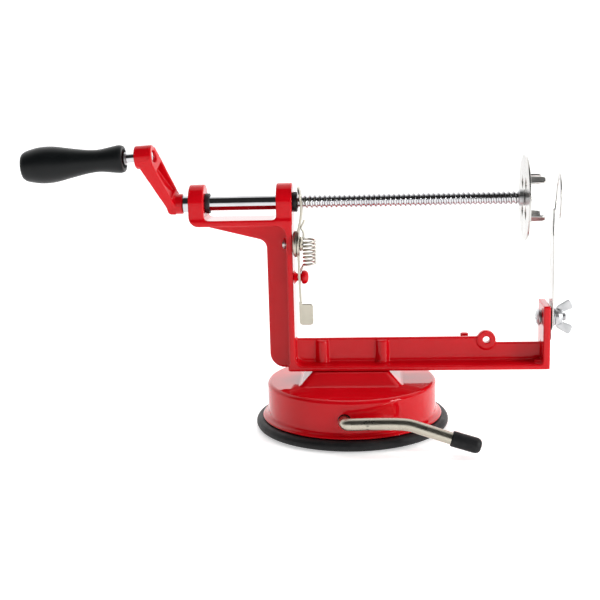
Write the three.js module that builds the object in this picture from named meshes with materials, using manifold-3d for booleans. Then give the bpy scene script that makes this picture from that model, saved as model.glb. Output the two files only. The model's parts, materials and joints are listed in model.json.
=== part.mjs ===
// Hand-cranked spiral slicer and corer on a lever suction base.
// Units are millimetres, +Z is up, +X runs from the crank to the blade and -Y is the operator's side.
// The origin is the centre of the suction base's underside, on the table.

import * as THREE from 'three';
import { mergeVertices } from 'three/addons/utils/BufferGeometryUtils.js';
import Module from 'manifold-3d';

const wasm = await Module();
wasm.setup();

// ---------------------------------------------------------------- driving dimensions
const GAP = 0.3; // clearance between pieces that touch

// feed screw line
const SHAFT_Z = 141;
const SHAFT_R = 4.5;
const THREAD_R = 4.25;
const THREAD_ROOT_R = 3.35;
const THREAD_PITCH = 3;
const THREAD_START = -31.6;
const THREAD_END = 102.6;

// frame casting: a bar, a post and a rail of T section
const FLANGE_Y = 12.5; // half depth of every flange
const WEB_Y = 1.6; // half thickness of every web
const LEFT_LUG = [-97.2, -87.7];
const RIGHT_LUG = [-43.6, -33.9];
const LUG_R = 11.5;
const BAR_TOP = 131.5;
const BAR_THICK = 3.7;
const POST_WEB_X = -50.8;
const POST_FLANGE = [-37.9, -34.1];
const RAIL_BOTTOM = 36.5;
const RAIL_FLANGE = 3.2;
const RAIL_WEB_TOP = 55.2;
const RAIL_WEB_LOW = 51.4;
const RIGHT_POST = [117.4, 121.7];
const RIGHT_POST_TOP = 76;
const BASE_SCREWS = [-17.7, 19.7]; // X of the two screws and their bosses
const BOSS_R = 4.1;
const GUSSET_Z = 117.4; // where the web under the bar meets the post's edge
const EAR = { x: 84, z: 53.2, r: 5.8, hole: 2.1, thick: 4.6 };
const FAR_BOSS = { x: 71.2, y: 9.2, r: 2.6, top: 55.4 };
const PEG = { y: -3, z: 94.6, neck: 2.1, head: 4.4 };

// release lever: a pressed plate that pivots on the post's flange
const PIVOT = { y: -8.5, z: 116.2, r: 2 };
const LEVER_THICK = 1.3;

// crank
const CRANK_RADIUS = 34.5;
const CRANK_LEAN = THREE.MathUtils.degToRad(28); // towards the operator, from vertical
const GRIP_DROOP = THREE.MathUtils.degToRad(3.9);
const HUB = { x0: -107.2, x1: -101.6, r: 6.2 };
const CRANK_BOSS = { x0: -126.3, x1: -115.5, r: 7 };
// the limb's two slanting faces: X of each at the hub and at the boss
const LIMB = { back: [-110.5, -123.5], front: [-106.2, -116.2], half: 6.3 };
const SPINDLE_R = 2.4;

// fork, blade and clamp
const FORK = { x: 106.1, thick: 1.3, r: 25.5, prong: 12.8, reach: 10.8, width: 6 };
const CLAMP_Z = 66.9;
const CLAMP_R = 2.6;
const SHIM = { x: [122, 122.6], half: 8.5, z: [54.1, 71.4] };
const BLADE = { x: 122.9, thick: 1.2, ring: 14.7, bore: 11.2, rise: 3.9, width: 17 };

// suction base
const BASE_R = 60.5;
const PAD_THICK = 6.4;
const SKIRT_R = 56.2;
const DOME_R = 52.8;
const DOME_TOP = 29.2;
const WALL = 2.6;
const PEDESTAL_TOP = RAIL_BOTTOM - GAP;
const AXLE = { x: -3.2, z: 17.4, r: 3.25, throw: 2, pin: 2.4 };
const ARM_Y = -61;
const ARM_END = [74, -66.4, 6.3];
const ARM_R = 3.55;
const CAP_R = 4.6;
const WALL_HOLE_R = 4.3;

const SEGMENTS = 24;

// ---------------------------------------------------------------- materials
function finish(colour, roughness, metalness) {
  return new THREE.MeshStandardMaterial({ color: colour, roughness, metalness });
}
const redPaint = finish(0xc4121c, 0.25, 0);
const blackPlastic = finish(0x17171a, 0.35, 0);
const rubber = finish(0x1b1b1c, 0.8, 0);
const chrome = finish(0xd8d8da, 0.12, 1);
const polishedSteel = finish(0xcfcfcf, 0.22, 1);
const nickel = finish(0xc9c2b4, 0.3, 1);
const zinc = finish(0xbfc2c4, 0.4, 1);

// ---------------------------------------------------------------- solid helpers
function solid(geometry) {
  const source = geometry.index ? geometry.toNonIndexed() : geometry;
  source.deleteAttribute('normal');
  source.deleteAttribute('uv');
  const merged = mergeVertices(source, 1e-5);
  const index = [];
  for (let i = 0; i < merged.index.count; i += 3) {
    const [a, b, c] = [0, 1, 2].map((k) => merged.index.getX(i + k));
    if (a !== b && b !== c && c !== a) index.push(a, b, c);
  }
  const data = { numProp: 3, vertProperties: new Float32Array(merged.attributes.position.array),
    triVerts: new Uint32Array(index) };
  return new wasm.Manifold(new wasm.Mesh(data));
}

function geometryOf(manifold) {
  const mesh = manifold.getMesh();
  const geometry = new THREE.BufferGeometry();
  geometry.setAttribute('position', new THREE.BufferAttribute(new Float32Array(mesh.vertProperties), 3));
  geometry.setIndex(new THREE.BufferAttribute(new Uint32Array(mesh.triVerts), 1));
  geometry.computeVertexNormals();
  return geometry;
}

function join(...pieces) {
  return pieces.reduce((sum, piece) => sum.add(piece));
}

function cut(body, ...tools) {
  return tools.reduce((rest, tool) => rest.subtract(tool), body);
}

function box([x0, x1], [y0, y1], [z0, z1]) {
  const geometry = new THREE.BoxGeometry(x1 - x0, y1 - y0, z1 - z0);
  geometry.translate((x0 + x1) / 2, (y0 + y1) / 2, (z0 + z1) / 2);
  return solid(geometry);
}

// Turns geometry made along +Z so that its axis runs along X or Y instead.
const TURN = {
  x: new THREE.Matrix4().makeBasis(
    new THREE.Vector3(0, 1, 0), new THREE.Vector3(0, 0, 1), new THREE.Vector3(1, 0, 0)),
  y: new THREE.Matrix4().makeBasis(
    new THREE.Vector3(0, 0, 1), new THREE.Vector3(1, 0, 0), new THREE.Vector3(0, 1, 0)),
  z: new THREE.Matrix4(),
};

// A solid of revolution. profile lists [radius, distance along the axis], bottom to top.
function lathe(axis, profile, [u, v], segments = SEGMENTS) {
  const points = profile.map(([r, s]) => new THREE.Vector2(r, s));
  const geometry = new THREE.LatheGeometry(points, segments);
  geometry.rotateX(Math.PI / 2);
  geometry.applyMatrix4(TURN[axis]);
  const place = { x: [0, u, v], y: [u, 0, v], z: [u, v, 0] }[axis];
  geometry.translate(...place);
  return solid(geometry);
}

function rod(axis, r, [a, b], centre, segments = SEGMENTS) {
  return lathe(axis, [[0, a], [r, a], [r, b], [0, b]], centre, segments);
}

function ring(axis, outer, inner, [a, b], centre, segments = SEGMENTS) {
  const profile = [[inner, a], [outer, a], [outer, b], [inner, b], [inner, a]];
  return lathe(axis, profile, centre, segments);
}

// A flat piece: an outline in the plane across the axis, between two stations on it.
// The outline's coordinates are (x, z) across Y, (y, z) across X and (x, y) across Z.
function plate(axis, shape, [a, b], curveSegments = 12) {
  const geometry = new THREE.ExtrudeGeometry(shape, { depth: b - a, bevelEnabled: false, curveSegments });
  geometry.translate(0, 0, a);
  if (axis === 'x') geometry.applyMatrix4(TURN.x);
  if (axis === 'y') {
    geometry.rotateX(Math.PI / 2);
    geometry.translate(0, a + b, 0);
  }
  return solid(geometry);
}

function outline(points) {
  return new THREE.Shape(points.map(([u, v]) => new THREE.Vector2(u, v)));
}

// A rounded rectangle outline.
function rounded([u0, u1], [v0, v1], r) {
  const shape = new THREE.Shape();
  shape.moveTo(u0 + r, v0);
  shape.lineTo(u1 - r, v0);
  shape.absarc(u1 - r, v0 + r, r, -Math.PI / 2, 0, false);
  shape.lineTo(u1, v1 - r);
  shape.absarc(u1 - r, v1 - r, r, 0, Math.PI / 2, false);
  shape.lineTo(u0 + r, v1);
  shape.absarc(u0 + r, v1 - r, r, Math.PI / 2, Math.PI, false);
  shape.lineTo(u0, v0 + r);
  shape.absarc(u0 + r, v0 + r, r, Math.PI, Math.PI * 1.5, false);
  return shape;
}

// A round bar swept along a curve through the points.
function tube(points, r, steps, sides = 10, tension = 0.5) {
  const path = new THREE.CatmullRomCurve3(points.map((p) => new THREE.Vector3(...p)), false,
    'catmullrom', tension);
  const section = new THREE.Shape();
  section.absarc(0, 0, r, 0, Math.PI * 2, false);
  const settings = { steps, extrudePath: path, curveSegments: sides / 2, bevelEnabled: false };
  return solid(new THREE.ExtrudeGeometry(section, settings));
}

const object = new THREE.Group();

function addNode(name, manifold, material, parent = object) {
  const mesh = new THREE.Mesh(geometryOf(manifold), material);
  mesh.name = name;
  parent.add(mesh);
  return mesh;
}

// ---------------------------------------------------------------- frame casting
function lug([x0, x1], cornerRadius) {
  const low = BAR_TOP - BAR_THICK;
  const eye = rod('x', LUG_R, [x0, x1], [0, SHAFT_Z], 40);
  const shoulder = box([x0, x1], [-LUG_R, LUG_R], [low, SHAFT_Z]);
  let body = join(eye, shoulder);
  if (cornerRadius > 0) {
    const corner = cut(
      box([x0 - 1, x0 + cornerRadius], [-20, 20], [low - 1, low + cornerRadius]),
      rod('y', cornerRadius, [-21, 21], [x0 + cornerRadius, low + cornerRadius], 32));
    body = cut(body, corner);
  }
  return body;
}

function barAndPostWeb() {
  const under = BAR_TOP - BAR_THICK + 0.5;
  const corner = 9.5;
  const elbow = 5;
  const web = new THREE.Shape();
  web.moveTo(LEFT_LUG[1] + 1, under);
  web.lineTo(LEFT_LUG[1] + 1, under - 2);
  web.lineTo(POST_WEB_X - 3.6, GUSSET_Z);
  web.quadraticCurveTo(POST_WEB_X, GUSSET_Z - 1, POST_WEB_X, GUSSET_Z - elbow);
  web.lineTo(POST_WEB_X, RAIL_BOTTOM + corner);
  web.absarc(POST_WEB_X + corner, RAIL_BOTTOM + corner, corner, Math.PI, Math.PI * 1.5, false);
  web.lineTo(POST_FLANGE[1], RAIL_BOTTOM);
  web.lineTo(POST_FLANGE[1], under);
  return plate('y', web, [-WEB_Y, WEB_Y]);
}

// Fills the inside corner between two flanges. The corner is at (x, z) and opens towards (toX, toZ).
function innerFillet(x, z, r, toX, toZ) {
  const embed = 1;
  const block = box([x - embed, x + r].map((v) => (toX > 0 ? v : 2 * x - v)).sort((a, b) => a - b),
    [-FLANGE_Y, FLANGE_Y], [z - embed, z + r].map((v) => (toZ > 0 ? v : 2 * z - v)).sort((a, b) => a - b));
  return cut(block, rod('y', r, [-20, 20], [x + r * toX, z + r * toZ], 28));
}

function ear() {
  const disc = rod('y', EAR.r, [-EAR.thick / 2, EAR.thick / 2], [EAR.x, EAR.z], 28);
  const pad = rod('y', 4.4, [EAR.thick / 2 - 0.5, EAR.thick / 2 + 1.4], [EAR.x, EAR.z], 28);
  const hole = rod('y', EAR.hole, [-20, 20], [EAR.x, EAR.z], 20);
  return { disc: join(disc, pad), hole };
}

function springPeg() {
  const face = POST_FLANGE[1];
  const profile = [[0, face - 1], [4, face - 1], [4, face + 0.4], [PEG.neck, face + 2.2],
    [PEG.neck, face + 4.3], [PEG.head, face + 4.9], [PEG.head, face + 7], [3, face + 8.7], [0, face + 9.1]];
  return lathe('x', profile, [PEG.y, PEG.z], 20);
}

function frameCasting() {
  const barBottom = BAR_TOP - BAR_THICK;
  const endRadius = 6.2;
  const bar = cut(
    box([LEFT_LUG[0], POST_FLANGE[1]], [-FLANGE_Y, FLANGE_Y], [barBottom, BAR_TOP]),
    cut(box([LEFT_LUG[0] - 1, LEFT_LUG[0] + endRadius], [-20, 20], [barBottom - 1, barBottom + endRadius]),
      rod('y', endRadius, [-21, 21], [LEFT_LUG[0] + endRadius, barBottom + endRadius], 32)));
  const postFlange = box(POST_FLANGE, [-FLANGE_Y, FLANGE_Y], [RAIL_BOTTOM, BAR_TOP]);
  const railFlange = box([POST_FLANGE[0] - 0.9, RIGHT_POST[1]], [-FLANGE_Y, FLANGE_Y],
    [RAIL_BOTTOM, RAIL_BOTTOM + RAIL_FLANGE]);
  const railWeb = plate('y', outline([[POST_FLANGE[0], RAIL_BOTTOM], [RIGHT_POST[1], RAIL_BOTTOM],
    [RIGHT_POST[1], RAIL_WEB_LOW], [EAR.x + 4, RAIL_WEB_LOW], [EAR.x + 4, RAIL_WEB_TOP],
    [POST_FLANGE[0], RAIL_WEB_TOP]]), [-WEB_Y, WEB_Y]);
  const rightPost = box(RIGHT_POST, [-FLANGE_Y, FLANGE_Y], [RAIL_BOTTOM, RIGHT_POST_TOP]);
  const bosses = BASE_SCREWS.map((x) =>
    rod('z', BOSS_R, [RAIL_BOTTOM, RAIL_WEB_TOP - 1.4], [x, 0], 24));
  const farBoss = rod('z', FAR_BOSS.r, [RAIL_BOTTOM, FAR_BOSS.top], [FAR_BOSS.x, FAR_BOSS.y], 20);
  const endBossTop = RAIL_BOTTOM + RAIL_FLANGE + 1.6;
  const endBoss = rod('z', 3.1, [RAIL_BOTTOM, endBossTop], [RIGHT_POST[0] - 1.4, -6], 18);
  const lower = innerFillet(POST_FLANGE[1], RAIL_BOTTOM + RAIL_FLANGE, 5.5, 1, 1);
  const upper = innerFillet(POST_FLANGE[0], barBottom, 6, -1, -1);
  const { disc, hole } = ear();

  const shaftBore = rod('x', 5.8, [LEFT_LUG[0] - 5, RIGHT_LUG[1] + 5], [0, SHAFT_Z], 32);
  const pivotBore = rod('x', PIVOT.r + GAP, [POST_FLANGE[0] - 2, POST_FLANGE[1] + 2], [PIVOT.y, PIVOT.z], 20);
  const clampBore = rod('x', CLAMP_R + GAP, [RIGHT_POST[0] - 2, RIGHT_POST[1] + 2], [0, CLAMP_Z], 24);
  const screwBores = BASE_SCREWS.map((x) =>
    rod('z', 2.05, [RAIL_BOTTOM - 1, RAIL_BOTTOM + 10.5], [x, 0], 20));

  const body = join(bar, lug(LEFT_LUG, endRadius), lug(RIGHT_LUG, 0), barAndPostWeb(), postFlange,
    railFlange, railWeb, rightPost, ...bosses, farBoss, endBoss, lower, upper, disc, springPeg());
  return cut(body, shaftBore, pivotBore, clampBore, hole, ...screwBores);
}

// ---------------------------------------------------------------- bushes and feed screw
function flangedBush([x0, x1]) {
  const bore = SHAFT_R + GAP;
  const sleeve = ring('x', 5.5, bore, [x0 + 0.4, x1 + GAP], [0, SHAFT_Z]);
  const flange = ring('x', 6.15, bore, [x1 + GAP, x1 + 2.7], [0, SHAFT_Z]);
  return join(sleeve, flange);
}

// A screw thread of trapezoid section: the rows of points follow the helix, and the ends are cut square.
function thread(x0, x1) {
  const around = 8;
  const perTurn = 4;
  const radii = [THREAD_R, THREAD_R, THREAD_ROOT_R, THREAD_ROOT_R];
  const rows = Math.ceil((x1 - x0) / THREAD_PITCH) * perTurn + 2 * perTurn;
  const positions = [];
  const point = (row, column) => {
    const x = x0 + THREAD_PITCH * ((row - perTurn) / perTurn + column / around);
    const inside = x > x0 && x < x1;
    const r = inside ? radii[((row % perTurn) + perTurn) % perTurn] : THREAD_ROOT_R;
    const angle = (2 * Math.PI * (column % around)) / around;
    return [Math.min(Math.max(x, x0), x1), r * Math.cos(angle), r * Math.sin(angle)];
  };
  const triangle = (...corners) => corners.forEach((corner) => positions.push(...corner));
  for (let row = 0; row < rows; row += 1) {
    for (let column = 0; column < around; column += 1) {
      const a = point(row, column);
      const b = point(row, column + 1);
      const c = point(row + 1, column + 1);
      const d = point(row + 1, column);
      triangle(a, b, c);
      triangle(a, c, d);
    }
  }
  for (let column = 0; column < around; column += 1) {
    triangle([x0, 0, 0], point(0, column + 1), point(0, column));
    triangle([x1, 0, 0], point(rows, column), point(rows, column + 1));
  }
  const geometry = new THREE.BufferGeometry();
  geometry.setAttribute('position', new THREE.Float32BufferAttribute(positions, 3));
  const built = solid(geometry);
  return built.translate([0, 0, SHAFT_Z]);
}

function feedScrew() {
  const smoothEnd = THREAD_START + 0.5;
  const shank = lathe('x', [[0, HUB.x0 + 1.5], [3.4, HUB.x0 + 1.5], [3.4, HUB.x1 + GAP],
    [SHAFT_R, HUB.x1 + GAP], [SHAFT_R, smoothEnd - 1], [THREAD_ROOT_R, smoothEnd], [0, smoothEnd]],
  [0, SHAFT_Z]);
  const nose = lathe('x', [[0, THREAD_END - 1], [3, THREAD_END - 1], [3, FORK.x + FORK.thick + 2.8],
    [2.2, FORK.x + FORK.thick + 3.6], [0, FORK.x + FORK.thick + 3.6]], [0, SHAFT_Z], 24);
  const body = join(shank, thread(THREAD_START, THREAD_END), nose);
  const grubSeat = rod('z', 1.6, [SHAFT_Z + 2.2, SHAFT_Z + 6], [(HUB.x0 + HUB.x1) / 2, 0], 16);
  return cut(body, grubSeat);
}

function thrustCollar() {
  return ring('x', 5.2, SHAFT_R + GAP, [HUB.x1 + GAP, LEFT_LUG[0] - GAP], [0, SHAFT_Z]);
}

// ---------------------------------------------------------------- fork
function forkDisc() {
  const { x, thick, r, prong, reach, width } = FORK;
  let body = rod('x', r, [x, x + thick], [0, 0], 48);
  for (const angle of [42, 138, 222, 318].map(THREE.MathUtils.degToRad)) {
    const slot = box([x - 1, x + thick + 1], [-width / 2, width / 2], [prong - 4.5, prong + 3.5]);
    const blade = plate('x', rounded([-width / 2 + 0.2, width / 2 - 0.2], [prong + 1.9, prong + 3.2], 0.3),
      [x + 0.4, x + reach], 2);
    const root = box([x, x + thick], [-width / 2 + 0.2, width / 2 - 0.2], [prong + 1.9, prong + 3.9]);
    const bevel = solid(new THREE.BoxGeometry(6, width, 6)
      .rotateY(Math.PI / 4)).translate([x + reach + 2.6, 0, prong + 1.2]);
    const formed = cut(join(blade, root), bevel);
    const degrees = THREE.MathUtils.radToDeg(angle);
    body = join(cut(body, slot.rotate([degrees, 0, 0])), formed.rotate([degrees, 0, 0]));
  }
  body = body.translate([0, 0, SHAFT_Z]);
  return cut(body, rod('x', 3 + GAP, [x - 1, x + thick + 1], [0, SHAFT_Z], 24));
}

function forkNut() {
  return ring('x', 4.9, 3 + GAP, [THREAD_END + GAP, FORK.x - GAP], [0, SHAFT_Z], 24);
}

// ---------------------------------------------------------------- crank and grip
// The crank is built upright, about the screw's line, and then leans towards the operator.
function leaning(manifold) {
  const degrees = THREE.MathUtils.radToDeg(CRANK_LEAN);
  return manifold.rotate([degrees, 0, 0]).translate([0, 0, SHAFT_Z]);
}

// Pieces on the grip's own axis are built along X through the boss, then drooped about the boss.
const BOSS_CENTRE = (CRANK_BOSS.x0 + CRANK_BOSS.x1) / 2;
function drooped(manifold) {
  const degrees = THREE.MathUtils.radToDeg(GRIP_DROOP);
  return manifold.translate([-BOSS_CENTRE, 0, 0]).rotate([0, -degrees, 0])
    .translate([BOSS_CENTRE, 0, CRANK_RADIUS]);
}

function crankArm() {
  const hub = rod('x', HUB.r, [HUB.x0, HUB.x1], [0, 0]);
  const boss = drooped(lathe('x', [[0, CRANK_BOSS.x0], [CRANK_BOSS.r - 0.8, CRANK_BOSS.x0],
    [CRANK_BOSS.r, CRANK_BOSS.x0 + 0.8], [CRANK_BOSS.r, CRANK_BOSS.x1], [0, CRANK_BOSS.x1]], [0, 0]));
  const limb = plate('y', outline([[LIMB.back[0], 0.4], [LIMB.back[0] + 1, -2.4], [LIMB.back[0] + 2.8, -3.6],
    [HUB.x0 + 2, -3.6], [HUB.x0 + 2, 4], [LIMB.front[0], 6.4], [LIMB.front[1], CRANK_RADIUS + 3],
    [LIMB.back[1], CRANK_RADIUS - 2]]), [-LIMB.half, LIMB.half]);
  const pocketHalf = LIMB.half - 1.5;
  const pocketTop = CRANK_RADIUS - 6.8;
  const pocket = plate('y', outline([[LIMB.front[0] + 8, 7.6], [LIMB.front[0] - 2.6, 7.6],
    [LIMB.front[1] - 3, pocketTop], [LIMB.front[1] + 8, pocketTop]]), [-pocketHalf, pocketHalf]);
  const bore = rod('x', 3.4 + GAP, [HUB.x0 - 1, HUB.x1 + 1], [0, 0]);
  const spindleBore = drooped(join(
    rod('x', SPINDLE_R + GAP, [CRANK_BOSS.x0 - 2, CRANK_BOSS.x1 + 2], [0, 0]),
    rod('x', 3.7, [CRANK_BOSS.x1 - 1.6, CRANK_BOSS.x1 + 4], [0, 0])));
  const grub = rod('z', 1.6 + GAP, [0, HUB.r + 2], [(HUB.x0 + HUB.x1) / 2, 0], 16)
    .rotate([180, 0, 0]);
  return leaning(cut(join(hub, boss, limb), pocket, bore, spindleBore, grub));
}

function crankSetScrew() {
  const x = (HUB.x0 + HUB.x1) / 2;
  const body = rod('z', 1.6, [3.5 + GAP, HUB.r - 0.1], [x, 0], 16);
  const slot = box([x - 2, x + 2], [-0.35, 0.35], [HUB.r - 0.9, HUB.r + 1]);
  return leaning(cut(body, slot).rotate([180, 0, 0]));
}

const GRIP_START = CRANK_BOSS.x0 - 7.1;
const GRIP_LENGTH = 63.2;

function handleSpindle() {
  const head = CRANK_BOSS.x1 - 1.6 + GAP;
  const profile = [[0, GRIP_START - 50], [SPINDLE_R, GRIP_START - 50], [SPINDLE_R, GRIP_START + 1.6],
    [2.8, GRIP_START + 1.6], [2.8, CRANK_BOSS.x0 - GAP], [SPINDLE_R, CRANK_BOSS.x0 - GAP],
    [SPINDLE_R, head], [3.1, head], [3.1, head + 0.4], [2.2, head + 0.9], [0, head + 1.1]];
  return leaning(drooped(lathe('x', profile, [0, 0], 24)));
}

function gripWasher() {
  const x = GRIP_START;
  return leaning(drooped(ring('x', 3.9, SPINDLE_R + GAP, [x + GAP, x + 1.3], [0, 0], 24)));
}

// The grip's outline is a smooth curve through its flare, waist, belly and butt.
function grip() {
  const start = GRIP_START;
  const outer = new THREE.CatmullRomCurve3([
    [7.6, 0], [8.4, 2.4], [8.0, 6], [6.9, 13], [6.7, 18], [7.5, 25], [9.2, 34], [10.7, 42], [11.15, 48],
    [10.75, 53], [9.9, 57.5], [9, 60.6], [7.9, 62.3],
  ].map(([r, s]) => new THREE.Vector3(r, s, 0)), false, 'centripetal');
  const profile = [[SPINDLE_R + GAP, start], [5.4, start]];
  for (const point of outer.getPoints(16)) profile.push([point.x, start - point.y]);
  const butt = start - GRIP_LENGTH;
  profile.push([6.6, butt + 0.45], [1.6, butt + 0.4], [1.3, butt], [0, butt]);
  profile.push([0, start - 50.6], [SPINDLE_R + GAP, start - 50.6], [SPINDLE_R + GAP, start]);
  return leaning(drooped(lathe('x', profile.reverse(), [0, 0], 24)));
}

// ---------------------------------------------------------------- release lever and its spring
const LEVER_FACE = -31.2; // the plate's crank-side face at the pivot
const LEVER_FRONT = -14.4;
const TAB = { x1: -22.4, low: 66.8, high: 79.9 };
const SPRING_HOLE = { y: -4.2, z: 125.4, r: 1.4 };

// The plate is bowed along its height: its edge profile seen from the front meets its outline seen along X.
function releaseLever() {
  const bow = [[0, 153], [1.4, 147], [2.4, 140.5], [1.8, 132], [0.2, 124.5], [0, 117], [0.1, 106], [0.3, 94],
    [0.7, 82], [0.9, 64]].map(([x, z]) => new THREE.Vector3(LEVER_FACE + x, z, 0));
  const near = new THREE.CatmullRomCurve3(bow, false, 'centripetal').getPoints(24);
  const band = outline([...near.map((p) => [p.x, p.y]),
    ...near.reverse().map((p) => [p.x + LEVER_THICK, p.y])]);
  const profile = plate('y', band, [-30, 30]);

  const across = [LEVER_FACE - 10, LEVER_FACE + 10];
  const top = SHAFT_Z + 9.9;
  const head = new THREE.Shape();
  head.moveTo(-13, PIVOT.z);
  head.lineTo(-13, top - 4.6);
  head.absarc(-8.4, top - 4.6, 4.6, Math.PI, Math.PI / 2, true);
  head.lineTo(-1.6, top);
  head.lineTo(-1.6, SHAFT_Z - 8);
  head.lineTo(PIVOT.y + 7.6, PIVOT.z + 8);
  head.lineTo(PIVOT.y + 7.2, PIVOT.z);
  const eye = rod('x', 8.4, across, [PIVOT.y, PIVOT.z]);
  const stripOutline = outline([[LEVER_FRONT, 64], [-9.6, 64], [-9.2, PIVOT.z], [-14.2, PIVOT.z]]);
  const strip = plate('x', stripOutline, across);
  const holes = [rod('x', THREAD_R + GAP, across, [0, SHAFT_Z]),
    rod('x', PIVOT.r + GAP, across, [PIVOT.y, PIVOT.z], 20),
    rod('x', SPRING_HOLE.r, across, [SPRING_HOLE.y, SPRING_HOLE.z], 14)];
  const outlineSolid = cut(join(plate('x', head, across), eye, strip), ...holes);
  const belowTab = box(across, [-20, 0], [60, TAB.high - 0.4]);
  const trimmed = cut(profile.intersect(outlineSolid), belowTab);

  const tabBack = LEVER_FRONT + LEVER_THICK;
  const tab = plate('y', rounded([LEVER_FACE + 0.8, TAB.x1], [TAB.low, TAB.high - 0.2], 2.2),
    [LEVER_FRONT, tabBack]);
  const neck = box([LEVER_FACE + 0.8, LEVER_FACE + 2.4], [LEVER_FRONT, tabBack + 0.4],
    [TAB.high - 6, TAB.high + 0.8]);
  return join(trimmed, neck, tab);
}

function releaseSpring() {
  const centre = { x: -24.2, y: -3.6 };
  const coil = { r: 3.7, wire: 0.62, turns: 7, low: 102.6, high: 118.4 };
  const perTurn = 8;
  const points = [[-31.0, -1.2, PEG.z + 2.6], [-30.6, -3.4, PEG.z + 3.3], [-29.2, -4.2, PEG.z + 5.6]];
  for (let i = 0; i <= coil.turns * perTurn; i += 1) {
    const angle = Math.PI + (2 * Math.PI * i) / perTurn;
    const z = coil.low + ((coil.high - coil.low) * i) / (coil.turns * perTurn);
    points.push([centre.x + coil.r * Math.cos(angle), centre.y + coil.r * Math.sin(angle), z]);
  }
  points.push([-27.6, -4, SPRING_HOLE.z - 3.2], [-28.9, SPRING_HOLE.y, SPRING_HOLE.z - 0.4],
    [-30.7, SPRING_HOLE.y, SPRING_HOLE.z]);
  return tube(points, coil.wire, points.length, 6);
}

function leverPivotScrew() {
  const [low, high] = [POST_FLANGE[0] - 2.5, LEVER_FACE + LEVER_THICK + GAP];
  const profile = [[0, low], [PIVOT.r - 0.4, low], [PIVOT.r, low + 0.4], [PIVOT.r, high], [4.4, high],
    [4.4, high + 0.9], [2.8, high + 1.9], [0, high + 2.1]];
  const slot = box([high + 1, high + 3], [PIVOT.y - 6, PIVOT.y + 6], [PIVOT.z - 0.4, PIVOT.z + 0.4]);
  return cut(lathe('x', profile, [PIVOT.y, PIVOT.z], 24), slot);
}

function leverSpacer() {
  const bore = PIVOT.r + GAP;
  const [x0, x1] = [POST_FLANGE[1] + GAP, LEVER_FACE - GAP];
  const profile = [[bore, x0], [6.6, x0], [8.2, x0 + 1.1], [8.2, x1], [bore, x1], [bore, x0]];
  return lathe('x', profile, [PIVOT.y, PIVOT.z], 28);
}

function leverPivotNut() {
  const span = [POST_FLANGE[0] - 2, POST_FLANGE[0] - GAP];
  const hexagon = rod('x', 3.1, span, [PIVOT.y, PIVOT.z], 6);
  return cut(hexagon, rod('x', PIVOT.r + GAP, [span[0] - 1, span[1] + 1], [PIVOT.y, PIVOT.z], 20));
}

// ---------------------------------------------------------------- blade and its clamp
// A loop that rises along X like one turn of a helix, on a flat shank.
function slicingBlade() {
  const { x, thick, bore, rise, width } = BLADE;
  const outer = BLADE.ring;
  const start = THREE.MathUtils.degToRad(-62);
  const sweep = THREE.MathUtils.degToRad(300);
  const steps = 40;
  const positions = [];
  const corner = (i, k) => {
    const angle = start + (sweep * i) / steps;
    const lift = x + rise * (1 - (1 - i / steps) ** 6);
    const r = k === 0 || k === 3 ? bore : outer;
    return [lift + (k >= 2 ? thick : 0), r * Math.cos(angle), SHAFT_Z + r * Math.sin(angle)];
  };
  const quad = (a, b, c, d) => [a, b, c, a, c, d].forEach((p) => positions.push(...p));
  for (let i = 0; i < steps; i += 1) {
    for (let k = 0; k < 4; k += 1) {
      const next = (k + 1) % 4;
      quad(corner(i, k), corner(i + 1, k), corner(i + 1, next), corner(i, next));
    }
  }
  quad(corner(0, 0), corner(0, 1), corner(0, 2), corner(0, 3));
  quad(corner(steps, 3), corner(steps, 2), corner(steps, 1), corner(steps, 0));
  const geometry = new THREE.BufferGeometry();
  geometry.setAttribute('position', new THREE.Float32BufferAttribute(positions, 3));
  const loop = solid(geometry);

  const half = width / 2;
  const shank = new THREE.Shape();
  shank.moveTo(-half, CLAMP_Z);
  shank.absarc(0, CLAMP_Z, half, Math.PI, Math.PI * 2, false);
  shank.lineTo(half, SHAFT_Z - 26);
  shank.quadraticCurveTo(half + 1.6, SHAFT_Z - 16, 10.2, SHAFT_Z - 10.4);
  shank.lineTo(8.1, SHAFT_Z - 8.1);
  shank.lineTo(4.6, SHAFT_Z - 9.8);
  shank.quadraticCurveTo(0, SHAFT_Z - 15, -half, SHAFT_Z - 22);
  const flat = cut(plate('x', shank, [x, x + thick]),
    rod('x', CLAMP_R + GAP, [x - 1, x + thick + 1], [0, CLAMP_Z], 24));
  return join(flat, loop);
}

function bladeShim() {
  const body = plate('x', rounded([-SHIM.half, SHIM.half], SHIM.z, 2), SHIM.x, 4);
  return cut(body, rod('x', CLAMP_R + GAP, [SHIM.x[0] - 1, SHIM.x[1] + 1], [0, CLAMP_Z], 24));
}

function clampBolt() {
  const head = RIGHT_POST[0] - 1.2;
  const end = 132.6;
  const profile = [[0, head - 2.3], [2, head - 2.2], [4.1, head - 1.6], [5.4, head - 0.6], [5.4, head],
    [CLAMP_R, head], [CLAMP_R, end - 0.6], [CLAMP_R - 0.6, end], [0, end]];
  const slot = box([head - 5, head - 1.4], [-6, 6], [CLAMP_Z - 0.5, CLAMP_Z + 0.5]);
  return cut(lathe('x', profile, [0, CLAMP_Z], 28), slot);
}

function clampWasher(x0, x1, r) {
  return ring('x', r, CLAMP_R + GAP, [x0, x1], [0, CLAMP_Z], 28);
}

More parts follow.
